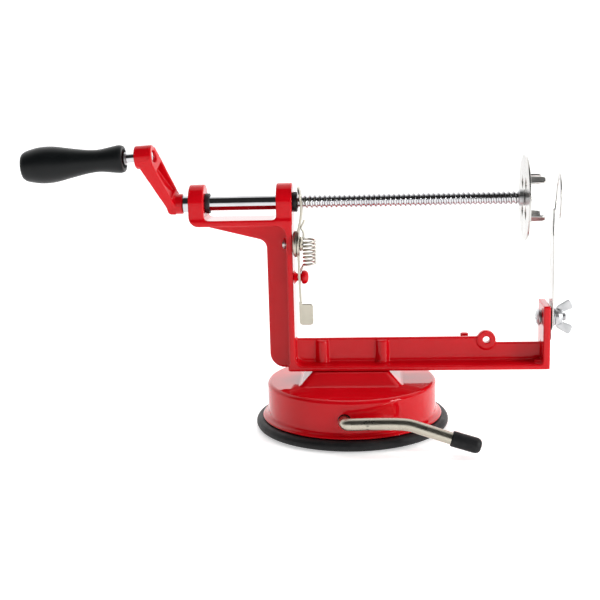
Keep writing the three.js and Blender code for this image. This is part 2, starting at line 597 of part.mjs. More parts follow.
// Two wings rise from a conical hub and lean away from the blade.
const WING_NUT_X = 125.6;
function wingNut() {
  const x = WING_NUT_X;
  const hub = lathe('x', [[0, x], [5.4, x], [5.2, x + 2.2], [4.2, x + 4.6], [0, x + 4.6]], [0, 0], 20);
  let body = hub;
  for (const side of [1, -1]) {
    const wing = new THREE.Shape();
    wing.moveTo(x + 0.8, 3.2);
    wing.lineTo(x + 1.1, 6.6);
    wing.lineTo(x + 7.4, 10.4);
    wing.quadraticCurveTo(x + 9.0, 11, x + 9.7, 9.6);
    wing.lineTo(x + 11, 7);
    wing.quadraticCurveTo(x + 11.3, 5.6, x + 9.8, 5);
    wing.lineTo(x + 4.3, 2.9);
    const flat = plate('y', wing, [-1.1, 1.1], 5);
    body = join(body, side === 1 ? flat : flat.rotate([180, 0, 0]));
  }
  return cut(body, rod('x', CLAMP_R + GAP, [x - 1, x + 6], [0, 0], 24)).translate([0, 0, CLAMP_Z]);
}

// ---------------------------------------------------------------- suction base
// A block whose rectangular section shrinks evenly from its foot to its top.
function frustum([x0, y0], [x1, y1], [z0, z1]) {
  const geometry = new THREE.BoxGeometry(2, 2, 2);
  const position = geometry.attributes.position;
  for (let i = 0; i < position.count; i += 1) {
    const top = position.getZ(i) > 0;
    position.setXYZ(i, position.getX(i) * (top ? x1 : x0), position.getY(i) * (top ? y1 : y0), top ? z1 : z0);
  }
  return solid(geometry);
}

function baseDome() {
  const foot = PAD_THICK + GAP;
  const outer = lathe('z', [[0, foot], [SKIRT_R, foot], [SKIRT_R, 8.3], [SKIRT_R - 0.6, 9.1],
    [DOME_R + 1.3, 10.5], [DOME_R, 12.6], [DOME_R, DOME_TOP - 1.8], [DOME_R - 0.5, DOME_TOP - 0.6],
    [DOME_R - 1.7, DOME_TOP], [0, DOME_TOP]], [0, 0], 48);
  const inner = lathe('z', [[0, foot - 1], [SKIRT_R - 6.5, foot - 1], [DOME_R - WALL, 13],
    [DOME_R - WALL, DOME_TOP - 6], [DOME_R - 8, DOME_TOP - WALL], [0, DOME_TOP - WALL]], [0, 0], 36);
  const pedestal = frustum([33, 22], [23.6, 13.2], [DOME_TOP - 1, PEDESTAL_TOP]);
  const pedestalHollow = frustum([30, 20], [13.5, 10.2], [DOME_TOP - WALL - 1, PEDESTAL_TOP - 3.2]);
  const bearing = box([AXLE.x - 5.5, AXLE.x + 5.5], [11, 16], [11, PEDESTAL_TOP - 2]);
  const axleHole = rod('y', AXLE.r + GAP, [9, 18], [AXLE.x, AXLE.z], 24);
  const wallHole = rod('y', WALL_HOLE_R, [-DOME_R - 4, -DOME_R + 10], [AXLE.x, AXLE.z], 28);
  const shell = cut(join(outer, pedestal), inner, pedestalHollow);
  const screwHoles = BASE_SCREWS.map((x) =>
    rod('z', 2 + GAP, [DOME_TOP - 6, PEDESTAL_TOP + 1], [x, 0], 20));
  const screwSeats = BASE_SCREWS.map((x) =>
    rod('z', 4.8, [DOME_TOP - 6, PEDESTAL_TOP - 3.6], [x, 0], 24));
  return cut(join(shell, bearing), axleHole, wallHole, ...screwSeats, ...screwHoles);
}

function baseScrew(x) {
  const seat = PEDESTAL_TOP - 3.6 - GAP;
  const profile = [[0, seat - 2.6], [3, seat - 2.4], [4, seat - 1.2], [4, seat], [2, seat],
    [1.75, seat + 1], [1.75, RAIL_BOTTOM + 9], [0.6, RAIL_BOTTOM + 10], [0, RAIL_BOTTOM + 10]];
  return lathe('z', profile, [x, 0], 20);
}

function suctionPad() {
  const profile = [[0, 0], [BASE_R - 1.6, 0], [BASE_R - 0.5, 0.5], [BASE_R, 1.8], [BASE_R - 0.1, 3.8],
    [BASE_R - 1, 5.6], [BASE_R - 2.6, PAD_THICK], [SKIRT_R - 8, PAD_THICK], [SKIRT_R - 10, 3],
    [12, 3], [11, 5], [4.4, 5], [4.4, 2], [0, 2]];
  return lathe('z', profile, [0, 0], 48);
}

// The stud is moulded into the pad, and its window surrounds the lever's crank pin.
function pullStud() {
  const stem = rod('z', 4, [2 + GAP, 10.6], [0, 0], 24);
  const head = box([AXLE.x - 7.2, AXLE.x + 9], [-3, 3], [9.4, 21.8]);
  const window = box([AXLE.x - 5.3, AXLE.x + 5.3], [-4, 4], [11.2, 18.2]);
  return cut(join(stem, head), window);
}

function leverPath() {
  return [[AXLE.x, -53.4, AXLE.z], [AXLE.x, -56, AXLE.z], [AXLE.x + 1.4, ARM_Y + 1.5, AXLE.z + 0.2],
    [AXLE.x + 5.2, ARM_Y, AXLE.z + 0.5], [12, ARM_Y, AXLE.z + 0.7], [27, ARM_Y - 0.2, AXLE.z + 0.7],
    [35, ARM_Y - 0.7, AXLE.z + 0.1], [42, ARM_Y - 1.6, AXLE.z - 1.9], [56, ARM_Y - 3.3, AXLE.z - 6.2],
    [66, ARM_Y - 4.5, AXLE.z - 9], ARM_END];
}

function suctionLever() {
  const { x, z, r, pin } = AXLE;
  const throwAngle = THREE.MathUtils.degToRad(-75);
  const pinX = x - AXLE.throw * Math.cos(throwAngle);
  const pinZ = z + AXLE.throw * Math.sin(throwAngle);
  const shaft = join(rod('y', r, [4.4, 19.5], [x, z], 20), rod('y', r, [-55.4, -4.4], [x, z], 20));
  const crankPin = rod('y', pin, [-5, 5], [pinX, pinZ], 20);
  const clipGroove = ring('y', r + 1, r - 0.7, [16.5, 17.6], [x, z], 20);
  const arm = tube(leverPath(), ARM_R, 24, 10);
  return cut(join(shaft, crankPin, arm), clipGroove);
}

function leverCap() {
  const from = new THREE.Vector3(58.6, ARM_Y - 3.6, AXLE.z - 6.9);
  const to = new THREE.Vector3(...ARM_END);
  const along = to.clone().sub(from);
  const length = along.length() + 1.6;
  const bore = ARM_R + GAP;
  const profile = [[0, length], [3, length], [CAP_R - 0.5, length - 0.8], [CAP_R, length - 2.4], [CAP_R, 1],
    [CAP_R - 0.4, 0], [0, 0]].reverse();
  const body = lathe('z', profile, [0, 0], 24);
  const turn = new THREE.Matrix4().makeRotationFromQuaternion(
    new THREE.Quaternion().setFromUnitVectors(new THREE.Vector3(0, 0, 1), along.normalize()));
  turn.setPosition(from);
  const placed = body.transform(turn.elements);
  return cut(placed, tube(leverPath(), bore, 24, 10));
}

function leverClip() {
  return ring('y', AXLE.r + 2.2, AXLE.r - 0.7 + GAP, [16.7, 17.4], [AXLE.x, AXLE.z], 20);
}

function leverGrommet() {
  const outer = WALL_HOLE_R - GAP;
  return ring('y', outer, AXLE.r + GAP, [-DOME_R + 1.4, -DOME_R + 6], [AXLE.x, AXLE.z], 24);
}

// ---------------------------------------------------------------- assembly
addNode('frame_casting', frameCasting(), redPaint);
addNode('left_bush', flangedBush(LEFT_LUG), blackPlastic);
addNode('right_bush', flangedBush(RIGHT_LUG), blackPlastic);

addNode('feed_screw', feedScrew(), chrome);
addNode('thrust_collar', thrustCollar(), chrome);
addNode('fork_disc', forkDisc(), polishedSteel);
addNode('fork_nut', forkNut(), zinc);

addNode('crank_arm', crankArm(), redPaint);
addNode('crank_set_screw', crankSetScrew(), zinc);
addNode('handle_spindle', handleSpindle(), chrome);
addNode('grip_washer', gripWasher(), zinc);
addNode('grip', grip(), blackPlastic);

addNode('release_lever', releaseLever(), nickel);
addNode('release_spring', releaseSpring(), chrome);
addNode('lever_pivot_screw', leverPivotScrew(), nickel);
addNode('lever_spacer', leverSpacer(), nickel);
addNode('lever_pivot_nut', leverPivotNut(), zinc);

addNode('slicing_blade', slicingBlade(), polishedSteel);
addNode('blade_shim', bladeShim(), rubber);
addNode('clamp_bolt', clampBolt(), zinc);
addNode('bolt_head_washer', clampWasher(RIGHT_POST[0] - 0.9, RIGHT_POST[0] - GAP, 4.6), zinc);
addNode('blade_washer', clampWasher(BLADE.x + BLADE.thick + GAP, WING_NUT_X - GAP, 6), zinc);
addNode('wing_nut', wingNut(), zinc);

addNode('base_dome', baseDome(), redPaint);
addNode('base_screw_left', baseScrew(BASE_SCREWS[0]), zinc);
addNode('base_screw_right', baseScrew(BASE_SCREWS[1]), zinc);
addNode('suction_pad', suctionPad(), rubber);
addNode('pull_stud', pullStud(), zinc);
addNode('suction_lever', suctionLever(), nickel);
addNode('lever_cap', leverCap(), rubber);
addNode('lever_clip', leverClip(), zinc);
addNode('lever_grommet', leverGrommet(), blackPlastic);

export default object;
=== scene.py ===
import json
import math

import bmesh
import bpy
from mathutils import Matrix, Vector


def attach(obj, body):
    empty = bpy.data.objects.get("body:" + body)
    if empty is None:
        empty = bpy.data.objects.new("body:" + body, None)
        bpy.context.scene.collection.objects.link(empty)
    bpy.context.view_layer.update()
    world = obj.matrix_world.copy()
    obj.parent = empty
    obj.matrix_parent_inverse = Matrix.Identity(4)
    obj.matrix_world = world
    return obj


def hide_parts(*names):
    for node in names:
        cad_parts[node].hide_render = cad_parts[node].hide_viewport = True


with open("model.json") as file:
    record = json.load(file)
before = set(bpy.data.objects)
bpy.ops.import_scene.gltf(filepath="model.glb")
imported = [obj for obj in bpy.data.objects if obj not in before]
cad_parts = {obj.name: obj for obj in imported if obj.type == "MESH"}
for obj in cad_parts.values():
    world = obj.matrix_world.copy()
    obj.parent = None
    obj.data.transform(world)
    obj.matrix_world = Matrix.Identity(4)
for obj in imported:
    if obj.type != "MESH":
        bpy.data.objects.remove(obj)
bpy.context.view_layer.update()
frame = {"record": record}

# Hand-cranked spiral slicer and corer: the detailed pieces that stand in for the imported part's nodes.
# Shapes are written in millimetres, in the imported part's frame, and are scaled once, when a mesh is made.
MM = 0.001
GAP = 0.3  # between pieces that touch on the real tool
SHRINK = 0.3  # what the smoothing of a casting takes off a rounded edge

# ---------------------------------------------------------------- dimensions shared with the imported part
SHAFT_Z = 141
SHAFT_R = 4.5
THREAD_R = 4.25
THREAD_ROOT_R = 3.35
THREAD_PITCH = 3
THREAD_START = -31.6
THREAD_END = 102.6

FLANGE_Y = 12.5
WEB_Y = 1.6
LEFT_LUG = (-97.2, -87.7)
RIGHT_LUG = (-43.6, -33.9)
LUG_R = 11.5
BAR_TOP = 131.5
BAR_LOW = 127.8
POST_WEB_X = -50.8
POST = (-37.9, -34.1)
GUSSET_CORNER_R = 9.5
RAIL = (36.5, 39.7)
RAIL_WEB_TOP = 55.2
RAIL_WEB_LOW = 51.4
RIGHT_POST = (117.4, 121.7)
RIGHT_POST_TOP = 76
BASE_SCREWS = (-17.7, 19.7)
BACK_BOSS = (71.2, 9.2)
FOOT_BOSS = (116, -6)
EAR = (84, 53.2)
EAR_R = 5.8
EAR_HOLE_R = 2.1
PEG = (-3, 94.6)
PIVOT = (-8.5, 116.2)
PIVOT_R = 2

LEAN = math.radians(28)
DROOP = math.radians(3.9)
CRANK_RADIUS = 34.5
HUB = (-107.2, -101.6)
BOSS = (-126.3, -115.5)
BOSS_R = 7
SPINDLE_R = 2.4
SPINDLE_RECESS_R = 3.7
GRUB_R = 1.6
GRIP_START = BOSS[0] - 7.1
GRIP_LENGTH = 63.2

FORK_X = 106.1
FORK_THICK = 1.3
PRONG_Z = 12.8
PRONG_HALF = 2.8
FORK_BORE_R = 3
CLAMP_Z = 66.9
CLAMP_R = 2.6
WING_NUT_X = 125.6
WING_HALF = 1.1

PAD_THICK = 6.4
SKIRT_R = 56.2
DOME_R = 52.8
DOME_TOP = 29.2
WALL = 2.6
PEDESTAL_TOP = 36.2
AXLE_X = -3.2
AXLE_Z = 17.4
AXLE_R = 3.25
ARM_Y = -61
ARM_END = (74, -66.4, 6.3)
ARM_R = 3.55
CAP_R = 4.6

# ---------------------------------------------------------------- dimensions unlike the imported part's
RAIL_BOSS_R = 4.3
LIMB_SKEW = 0.12  # how far the crank's limb shifts along X for each millimetre of Y
FORK_R = 26.2
PRONG_REACH = 11.4
WALL_HOLE_R = 4


# ---------------------------------------------------------------- mesh helpers
def piece(name, verts, faces):
    """An object from corners in millimetres."""
    mesh = bpy.data.meshes.new(name)
    mesh.from_pydata([tuple(c * MM for c in v) for v in verts], [], faces)
    work = bmesh.new()
    work.from_mesh(mesh)
    bmesh.ops.remove_doubles(work, verts=work.verts, dist=1e-8)
    bmesh.ops.recalc_face_normals(work, faces=work.faces)
    work.to_mesh(mesh)
    work.free()
    obj = bpy.data.objects.new(name, mesh)
    bpy.context.scene.collection.objects.link(obj)
    return obj


def softened(points, radius, steps=4, closed=False):
    """Rounds the corners of a line of 2-D points."""
    count = len(points)
    out = []
    for i, point in enumerate(points):
        if not closed and i in (0, count - 1):
            out.append(tuple(point))
            continue
        here = Vector(point)
        back = Vector(points[i - 1]) - here
        ahead = Vector(points[(i + 1) % count]) - here
        reach = min(radius, 0.45 * back.length, 0.45 * ahead.length)
        if reach < 1e-4:
            out.append(tuple(point))
            continue
        start = here + back.normalized() * reach
        end = here + ahead.normalized() * reach
        for k in range(steps + 1):
            t = k / steps
            spot = start * (1 - t) ** 2 + here * 2 * t * (1 - t) + end * t * t
            out.append((spot.x, spot.y))
    return out


def on_axis(axis, along, u, v, centre):
    """The point at a distance along an axis and (u, v) away from a centre in the other two directions."""
    if axis == "x":
        return (along, centre[0] + u, centre[1] + v)
    if axis == "y":
        return (centre[0] + u, along, centre[1] + v)
    return (centre[0] + u, centre[1] + v, along)


def lathe(name, axis, profile, centre=(0, 0), segments=96, closed=False):
    """A solid of revolution. profile lists (distance along the axis, radius)."""
    rows = []
    verts = []
    for along, radius in profile:
        if radius < 1e-6:
            rows.append([len(verts)])
            verts.append(on_axis(axis, along, 0, 0, centre))
            continue
        rows.append(list(range(len(verts), len(verts) + segments)))
        for k in range(segments):
            angle = 2 * math.pi * k / segments
            verts.append(on_axis(axis, along, radius * math.cos(angle), radius * math.sin(angle), centre))
    faces = []
    pairs = list(zip(rows, rows[1:]))
    if closed:
        pairs.append((rows[-1], rows[0]))
    for a, b in pairs:
        for k in range(segments):
            n = (k + 1) % segments
            if len(a) == 1 and len(b) > 1:
                faces.append((a[0], b[n], b[k]))
            elif len(b) == 1 and len(a) > 1:
                faces.append((a[k], a[n], b[0]))
            elif len(a) > 1:
                faces.append((a[k], a[n], b[n], b[k]))
    return piece(name, verts, faces)


def turned(name, axis, profile, centre=(0, 0), soft=0.25, segments=96):
    """A turned solid whose profile starts and ends on its axis."""
    return lathe(name, axis, softened(profile, soft), centre, segments)


def washer(name, axis, span, outer, inner, centre=(0, 0), soft=0.2):
    profile = [(span[0], inner), (span[0], outer), (span[1], outer), (span[1], inner)]
    return lathe(name, axis, softened(profile, soft, 3, closed=True), centre, closed=True)


def rod(axis, radius, span, centre, segments=96):
    profile = [(span[0], 0), (span[0], radius), (span[1], radius), (span[1], 0)]
    return lathe("rod", axis, profile, centre, segments)


def prism(name, axis, shape, span):
    """A flat piece: an outline of (x, z) across Y, (y, z) across X or (x, y) across Z."""
    count = len(shape)
    verts = []
    for along in span:
        for u, v in shape:
            verts.append(on_axis(axis, along, u, v, (0, 0)))
    faces = [tuple(range(count)), tuple(range(2 * count - 1, count - 1, -1))]
    for k in range(count):
        n = (k + 1) % count
        faces.append((k, n, count + n, count + k))
    return piece(name, verts, faces)


def box(xs, ys, zs):
    return prism("box", "z", [(xs[0], ys[0]), (xs[1], ys[0]), (xs[1], ys[1]), (xs[0], ys[1])], zs)


def arc(cu, cv, radius, start, end, steps=24):
    """2-D points on a circle around (cu, cv), from one angle to another in degrees."""
    points = []
    for k in range(steps + 1):
        angle = math.radians(start + (end - start) * k / steps)
        points.append((cu + radius * math.cos(angle), cv + radius * math.sin(angle)))
    return points


def swept(name, path, radius, sides):
    """A round bar along a line of 3-D points."""
    spots = [Vector(p) for p in path]
    directions = []
    for i in range(len(spots)):
        ahead = spots[min(i + 1, len(spots) - 1)]
        behind = spots[max(i - 1, 0)]
        directions.append((ahead - behind).normalized())
    side = directions[0].orthogonal().normalized()
    verts = [tuple(spots[0])]
    for spot, direction in zip(spots, directions):
        side = (side - direction * side.dot(direction)).normalized()
        up = direction.cross(side)
        for k in range(sides):
            angle = 2 * math.pi * k / sides
            verts.append(tuple(spot + radius * (math.cos(angle) * side + math.sin(angle) * up)))
    verts.append(tuple(spots[-1]))
    faces = []
    for k in range(sides):
        n = (k + 1) % sides
        faces.append((0, 1 + n, 1 + k))
        last = 1 + (len(spots) - 1) * sides
        faces.append((len(verts) - 1, last + k, last + n))
        for i in range(len(spots) - 1):
            a = 1 + i * sides
            faces.append((a + k, a + n, a + sides + n, a + sides + k))
    return piece(name, verts, faces)


def smooth_path(points, per_span):
    """A Catmull-Rom curve through 2-D or 3-D points."""
    spots = [Vector(p) for p in points]
    spots = [spots[0] * 2 - spots[1]] + spots + [spots[-1] * 2 - spots[-2]]
    out = []
    for i in range(1, len(spots) - 2):
        a, b, c, d = spots[i - 1:i + 3]
        for k in range(per_span):
            t = k / per_span
            out.append(0.5 * (2 * b + (c - a) * t + (2 * a - 5 * b + 4 * c - d) * t * t
                              + (3 * b - a - 3 * c + d) * t ** 3))
    out.append(spots[-2])
    return [tuple(p) for p in out]


def smooth_step(t):
    """Eases from 0 to 1 as t goes from 0 to 1, and stays level outside."""
    t = min(max(t, 0), 1)
    return t * t * (3 - 2 * t)


def apply_modifiers(obj):
    bpy.context.view_layer.update()
    graph = bpy.context.evaluated_depsgraph_get()
    mesh = bpy.data.meshes.new_from_object(obj.evaluated_get(graph))
    old = obj.data
    obj.modifiers.clear()
    obj.data = mesh
    bpy.data.meshes.remove(old)


def combine(base, operation, *tools):
    """Joins the tools to the base, or takes them from it, and uses them up."""
    for tool in tools:
        modifier = base.modifiers.new("combine", "BOOLEAN")
        modifier.operation = operation
        modifier.solver = "MANIFOLD"
        modifier.object = tool
        apply_modifiers(base)
        old = tool.data
        bpy.data.objects.remove(tool)
        bpy.data.meshes.remove(old)
    return base


def join(base, *tools):
    return combine(base, "UNION", *tools)


def cut(base, *tools):
    return combine(base, "DIFFERENCE", *tools)


def common(base, tool):
    return combine(base, "INTERSECT", tool)


def moulded(obj, voxel, rounds):
    """Turns crisp solids into one skin with soft edges and fillets, as a casting or a pressing has."""
    remesh = obj.modifiers.new("skin", "REMESH")
    remesh.mode = "VOXEL"
    remesh.voxel_size = voxel * MM
    soften = obj.modifiers.new("soften", "SMOOTH")
    soften.factor = 0.5
    soften.iterations = rounds
    apply_modifiers(obj)
    return obj


def moved(obj, matrix):
    obj.data.transform(matrix)
    return obj


def shift(x, y, z):
    return Matrix.Translation((x * MM, y * MM, z * MM))


# ---------------------------------------------------------------- materials
NOISE_SPAN = (0.3, 0.7)  # where nearly all of a noise's values lie
EDGE_SPAN = (0.53, 0.62)  # how sharp an edge is where the edge colour starts (wear, and on the red enamel a painted highlight), and where it is full
EDGE_SHARE = 0.45  # of the edge colour, where an edge is sharpest


def value_range(tree, source, low, high):
    """Spreads a noise over the range from low to high."""
    node = tree.nodes.new("ShaderNodeMapRange")
    node.inputs["From Min"].default_value = NOISE_SPAN[0]
    node.inputs["From Max"].default_value = NOISE_SPAN[1]
    node.inputs["To Min"].default_value = low
    node.inputs["To Max"].default_value = high
    tree.links.new(source, node.inputs["Value"])
    return node.outputs["Result"]


def noise(tree, vector, scale, detail, roughness=0.55):
    node = tree.nodes.new("ShaderNodeTexNoise")
    node.inputs["Scale"].default_value = scale
    node.inputs["Detail"].default_value = detail
    node.inputs["Roughness"].default_value = roughness
    tree.links.new(vector, node.inputs["Vector"])
    return node.outputs["Fac"]


def blend(tree, factor, first, second):
    """Mixes two colours; each is a socket or three numbers, and the factor is a socket."""
    node = tree.nodes.new("ShaderNodeMix")
    node.data_type = "RGBA"
    for name, kind, source in (("Factor", "VALUE", factor), ("A", "RGBA", first), ("B", "RGBA", second)):
        target = [s for s in node.inputs if s.name == name and s.type == kind][0]
        if isinstance(source, tuple):
            target.default_value = (*source, 1)
        else:
            tree.links.new(source, target)
    return [s for s in node.outputs if s.type == "RGBA"][0]


def surface(name, tone, deep, rough, grain_scale, bump, mottle, bump_distance=0.0002, grain=(1, 1, 1),
            metallic=0.0, specular=0.5, coat=0.0, coat_rough=0.05, coat_ior=1.5, edge=None, dust=None):
    """A finish whose colour, roughness and relief all vary over the surface.

    tone and deep are the two colours it drifts between, at the scale of mottle. rough is its lowest and
    highest roughness. grain_scale is the scale of the fine relief and grain stretches it. edge is the colour
    laid on sharp edges: wear on the metal and plastic finishes, a painted highlight on the red enamel. dust
    is the colour that settles on it.
    """
    material = bpy.data.materials.new(name)
    material.use_nodes = True
    tree = material.node_tree
    shader = tree.nodes["Principled BSDF"]
    coordinates = tree.nodes.new("ShaderNodeTexCoord").outputs["Object"]

    stretch = tree.nodes.new("ShaderNodeMapping")
    stretch.inputs["Scale"].default_value = grain
    tree.links.new(coordinates, stretch.inputs["Vector"])
    fine = noise(tree, stretch.outputs["Vector"], grain_scale, 5.0)
    broad = noise(tree, coordinates, mottle, 5.0)

    colour = blend(tree, value_range(tree, broad, 0.0, 1.0), tone, deep)
    if dust is not None:
        specks = noise(tree, coordinates, 260.0, 8.0, 0.7)
        colour = blend(tree, value_range(tree, specks, -0.15, 0.45), colour, dust)
    # sharp edges take the edge colour: wear on the metal and plastic finishes, a painted highlight on the red
    # enamel
    if edge is not None:
        geometry = tree.nodes.new("ShaderNodeNewGeometry")
        wear_and_highlight = tree.nodes.new("ShaderNodeMapRange")
        wear_and_highlight.inputs["From Min"].default_value = EDGE_SPAN[0]
        wear_and_highlight.inputs["From Max"].default_value = EDGE_SPAN[1]
        wear_and_highlight.inputs["To Max"].default_value = EDGE_SHARE
        tree.links.new(geometry.outputs["Pointiness"], wear_and_highlight.inputs["Value"])
        colour = blend(tree, wear_and_highlight.outputs["Result"], colour, edge)
    tree.links.new(colour, shader.inputs["Base Color"])

    smudges = noise(tree, coordinates, mottle * 2.7, 6.0, 0.65)
    tree.links.new(value_range(tree, smudges, rough[0], rough[1]), shader.inputs["Roughness"])

    relief = tree.nodes.new("ShaderNodeBump")
    relief.inputs["Strength"].default_value = bump
    relief.inputs["Distance"].default_value = bump_distance
    tree.links.new(fine, relief.inputs["Height"])
    tree.links.new(relief.outputs["Normal"], shader.inputs["Normal"])

    shader.inputs["Metallic"].default_value = metallic
    shader.inputs["Specular IOR Level"].default_value = specular
    shader.inputs["Coat Weight"].default_value = coat
    shader.inputs["Coat Roughness"].default_value = coat_rough
    shader.inputs["Coat IOR"].default_value = coat_ior
    return material


# the lighter red laid on the sharp edges is a painted highlight
RED = surface("red_enamel", (0.63, 0.003, 0.009), (0.56, 0.002, 0.006), (0.30, 0.42), grain_scale=420.0,
              bump=0.10, bump_distance=0.0001, mottle=38.0, edge=(0.72, 0.02, 0.03), coat=1.0,
              coat_rough=0.04, coat_ior=1.33, specular=0.0)
GRIP_PLASTIC = surface("moulded_grip", (0.007, 0.008, 0.0085), (0.004, 0.005, 0.0055), (0.34, 0.44),
                       grain_scale=1500.0, bump=0.10, bump_distance=0.00008, mottle=60.0,
                       edge=(0.02, 0.021, 0.022), specular=0.2)
BUSH_PLASTIC = surface("bush_plastic", (0.018, 0.018, 0.020), (0.010, 0.010, 0.012), (0.42, 0.58),
                       grain_scale=1800.0, bump=0.2, bump_distance=0.0001, mottle=120.0)
RUBBER = surface("foot_rubber", (0.008, 0.008, 0.009), (0.005, 0.005, 0.006), (0.46, 0.62),
                 grain_scale=1100.0, bump=0.3, bump_distance=0.00012, mottle=70.0, dust=(0.02, 0.02, 0.02),
                 specular=0.25)
CHROME = surface("bright_chrome", (0.62, 0.62, 0.63), (0.52, 0.52, 0.54), (0.07, 0.15), metallic=1.0,
                 grain=(14, 1, 1), grain_scale=300.0, bump=0.05, bump_distance=0.00005, mottle=90.0)
STEEL = surface("polished_sheet", (0.60, 0.59, 0.57), (0.50, 0.49, 0.47), (0.16, 0.28), metallic=1.0,
                grain=(1, 1, 9), grain_scale=500.0, bump=0.08, bump_distance=0.00005, mottle=55.0)
NICKEL = surface("satin_nickel", (0.52, 0.49, 0.41), (0.45, 0.42, 0.35), (0.25, 0.36), metallic=1.0,
                 grain=(1, 6, 6), grain_scale=420.0, bump=0.10, bump_distance=0.00006, mottle=80.0,
                 edge=(0.66, 0.64, 0.58))
ZINC = surface("bright_zinc", (0.60, 0.60, 0.61), (0.44, 0.45, 0.46), (0.28, 0.46), metallic=1.0,
               grain_scale=1300.0, bump=0.18, bump_distance=0.00008, mottle=170.0, edge=(0.74, 0.74, 0.75))
WIRE = surface("spring_wire", (0.68, 0.66, 0.60), (0.56, 0.54, 0.49), (0.30, 0.42), metallic=1.0,
               grain_scale=900.0, bump=0.06, bump_distance=0.00005, mottle=120.0)
SLOTS = {"red_paint": RED, "grip_plastic": GRIP_PLASTIC, "bush_plastic": BUSH_PLASTIC, "rubber": RUBBER,
         "chrome": CHROME, "polished_steel": STEEL, "nickel": NICKEL, "zinc": ZINC}
NODE_SLOT = {row["node"]: row["material_slot"] for row in frame["record"]["subparts"]}
BODIES = frame["record"]["behaviour"]["bodies"]
NODE_BODY = {node: body for body, nodes in BODIES.items() for node in nodes}


def stands_for(obj, node, even=True, finish=None):
    """The piece takes the CAD node's place, body and slot, and the slot's finish unless it has its own."""
    obj.name = node + "_fine"
    obj.data.name = node + "_fine"
    for polygon in obj.data.polygons:
        polygon.use_smooth = True
    obj.data.materials.clear()
    obj.data.materials.append(finish or SLOTS[NODE_SLOT[node]])
    if even:
        normals = obj.modifiers.new("even_normals", "WEIGHTED_NORMAL")
        normals.weight = 80
        normals.keep_sharp = True
    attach(obj, NODE_BODY[node])
    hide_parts(node)


# ---------------------------------------------------------------- frame casting
def corner_fill(x, z, radius, to_x, to_z, half):
    """The concave fillet in the corner at (x, z), open towards (to_x, to_z)."""
    embed = 0.6
    steps = 16
    centre = (x + radius * to_x, z + radius * to_z)
    shape = [(x - embed * to_x, z - embed * to_z), (centre[0], z - embed * to_z)]
    start = math.radians(-90 * to_z)
    end = math.radians(180 if to_x > 0 else 0)
    if to_x > 0 and to_z > 0:
        end = -end
    for k in range(steps + 1):
        angle = start + (end - start) * k / steps
        shape.append((centre[0] + radius * math.cos(angle), centre[1] + radius * math.sin(angle)))
    shape.append((x - embed * to_x, centre[1]))
    return prism("fill", "y", shape, (-half, half))


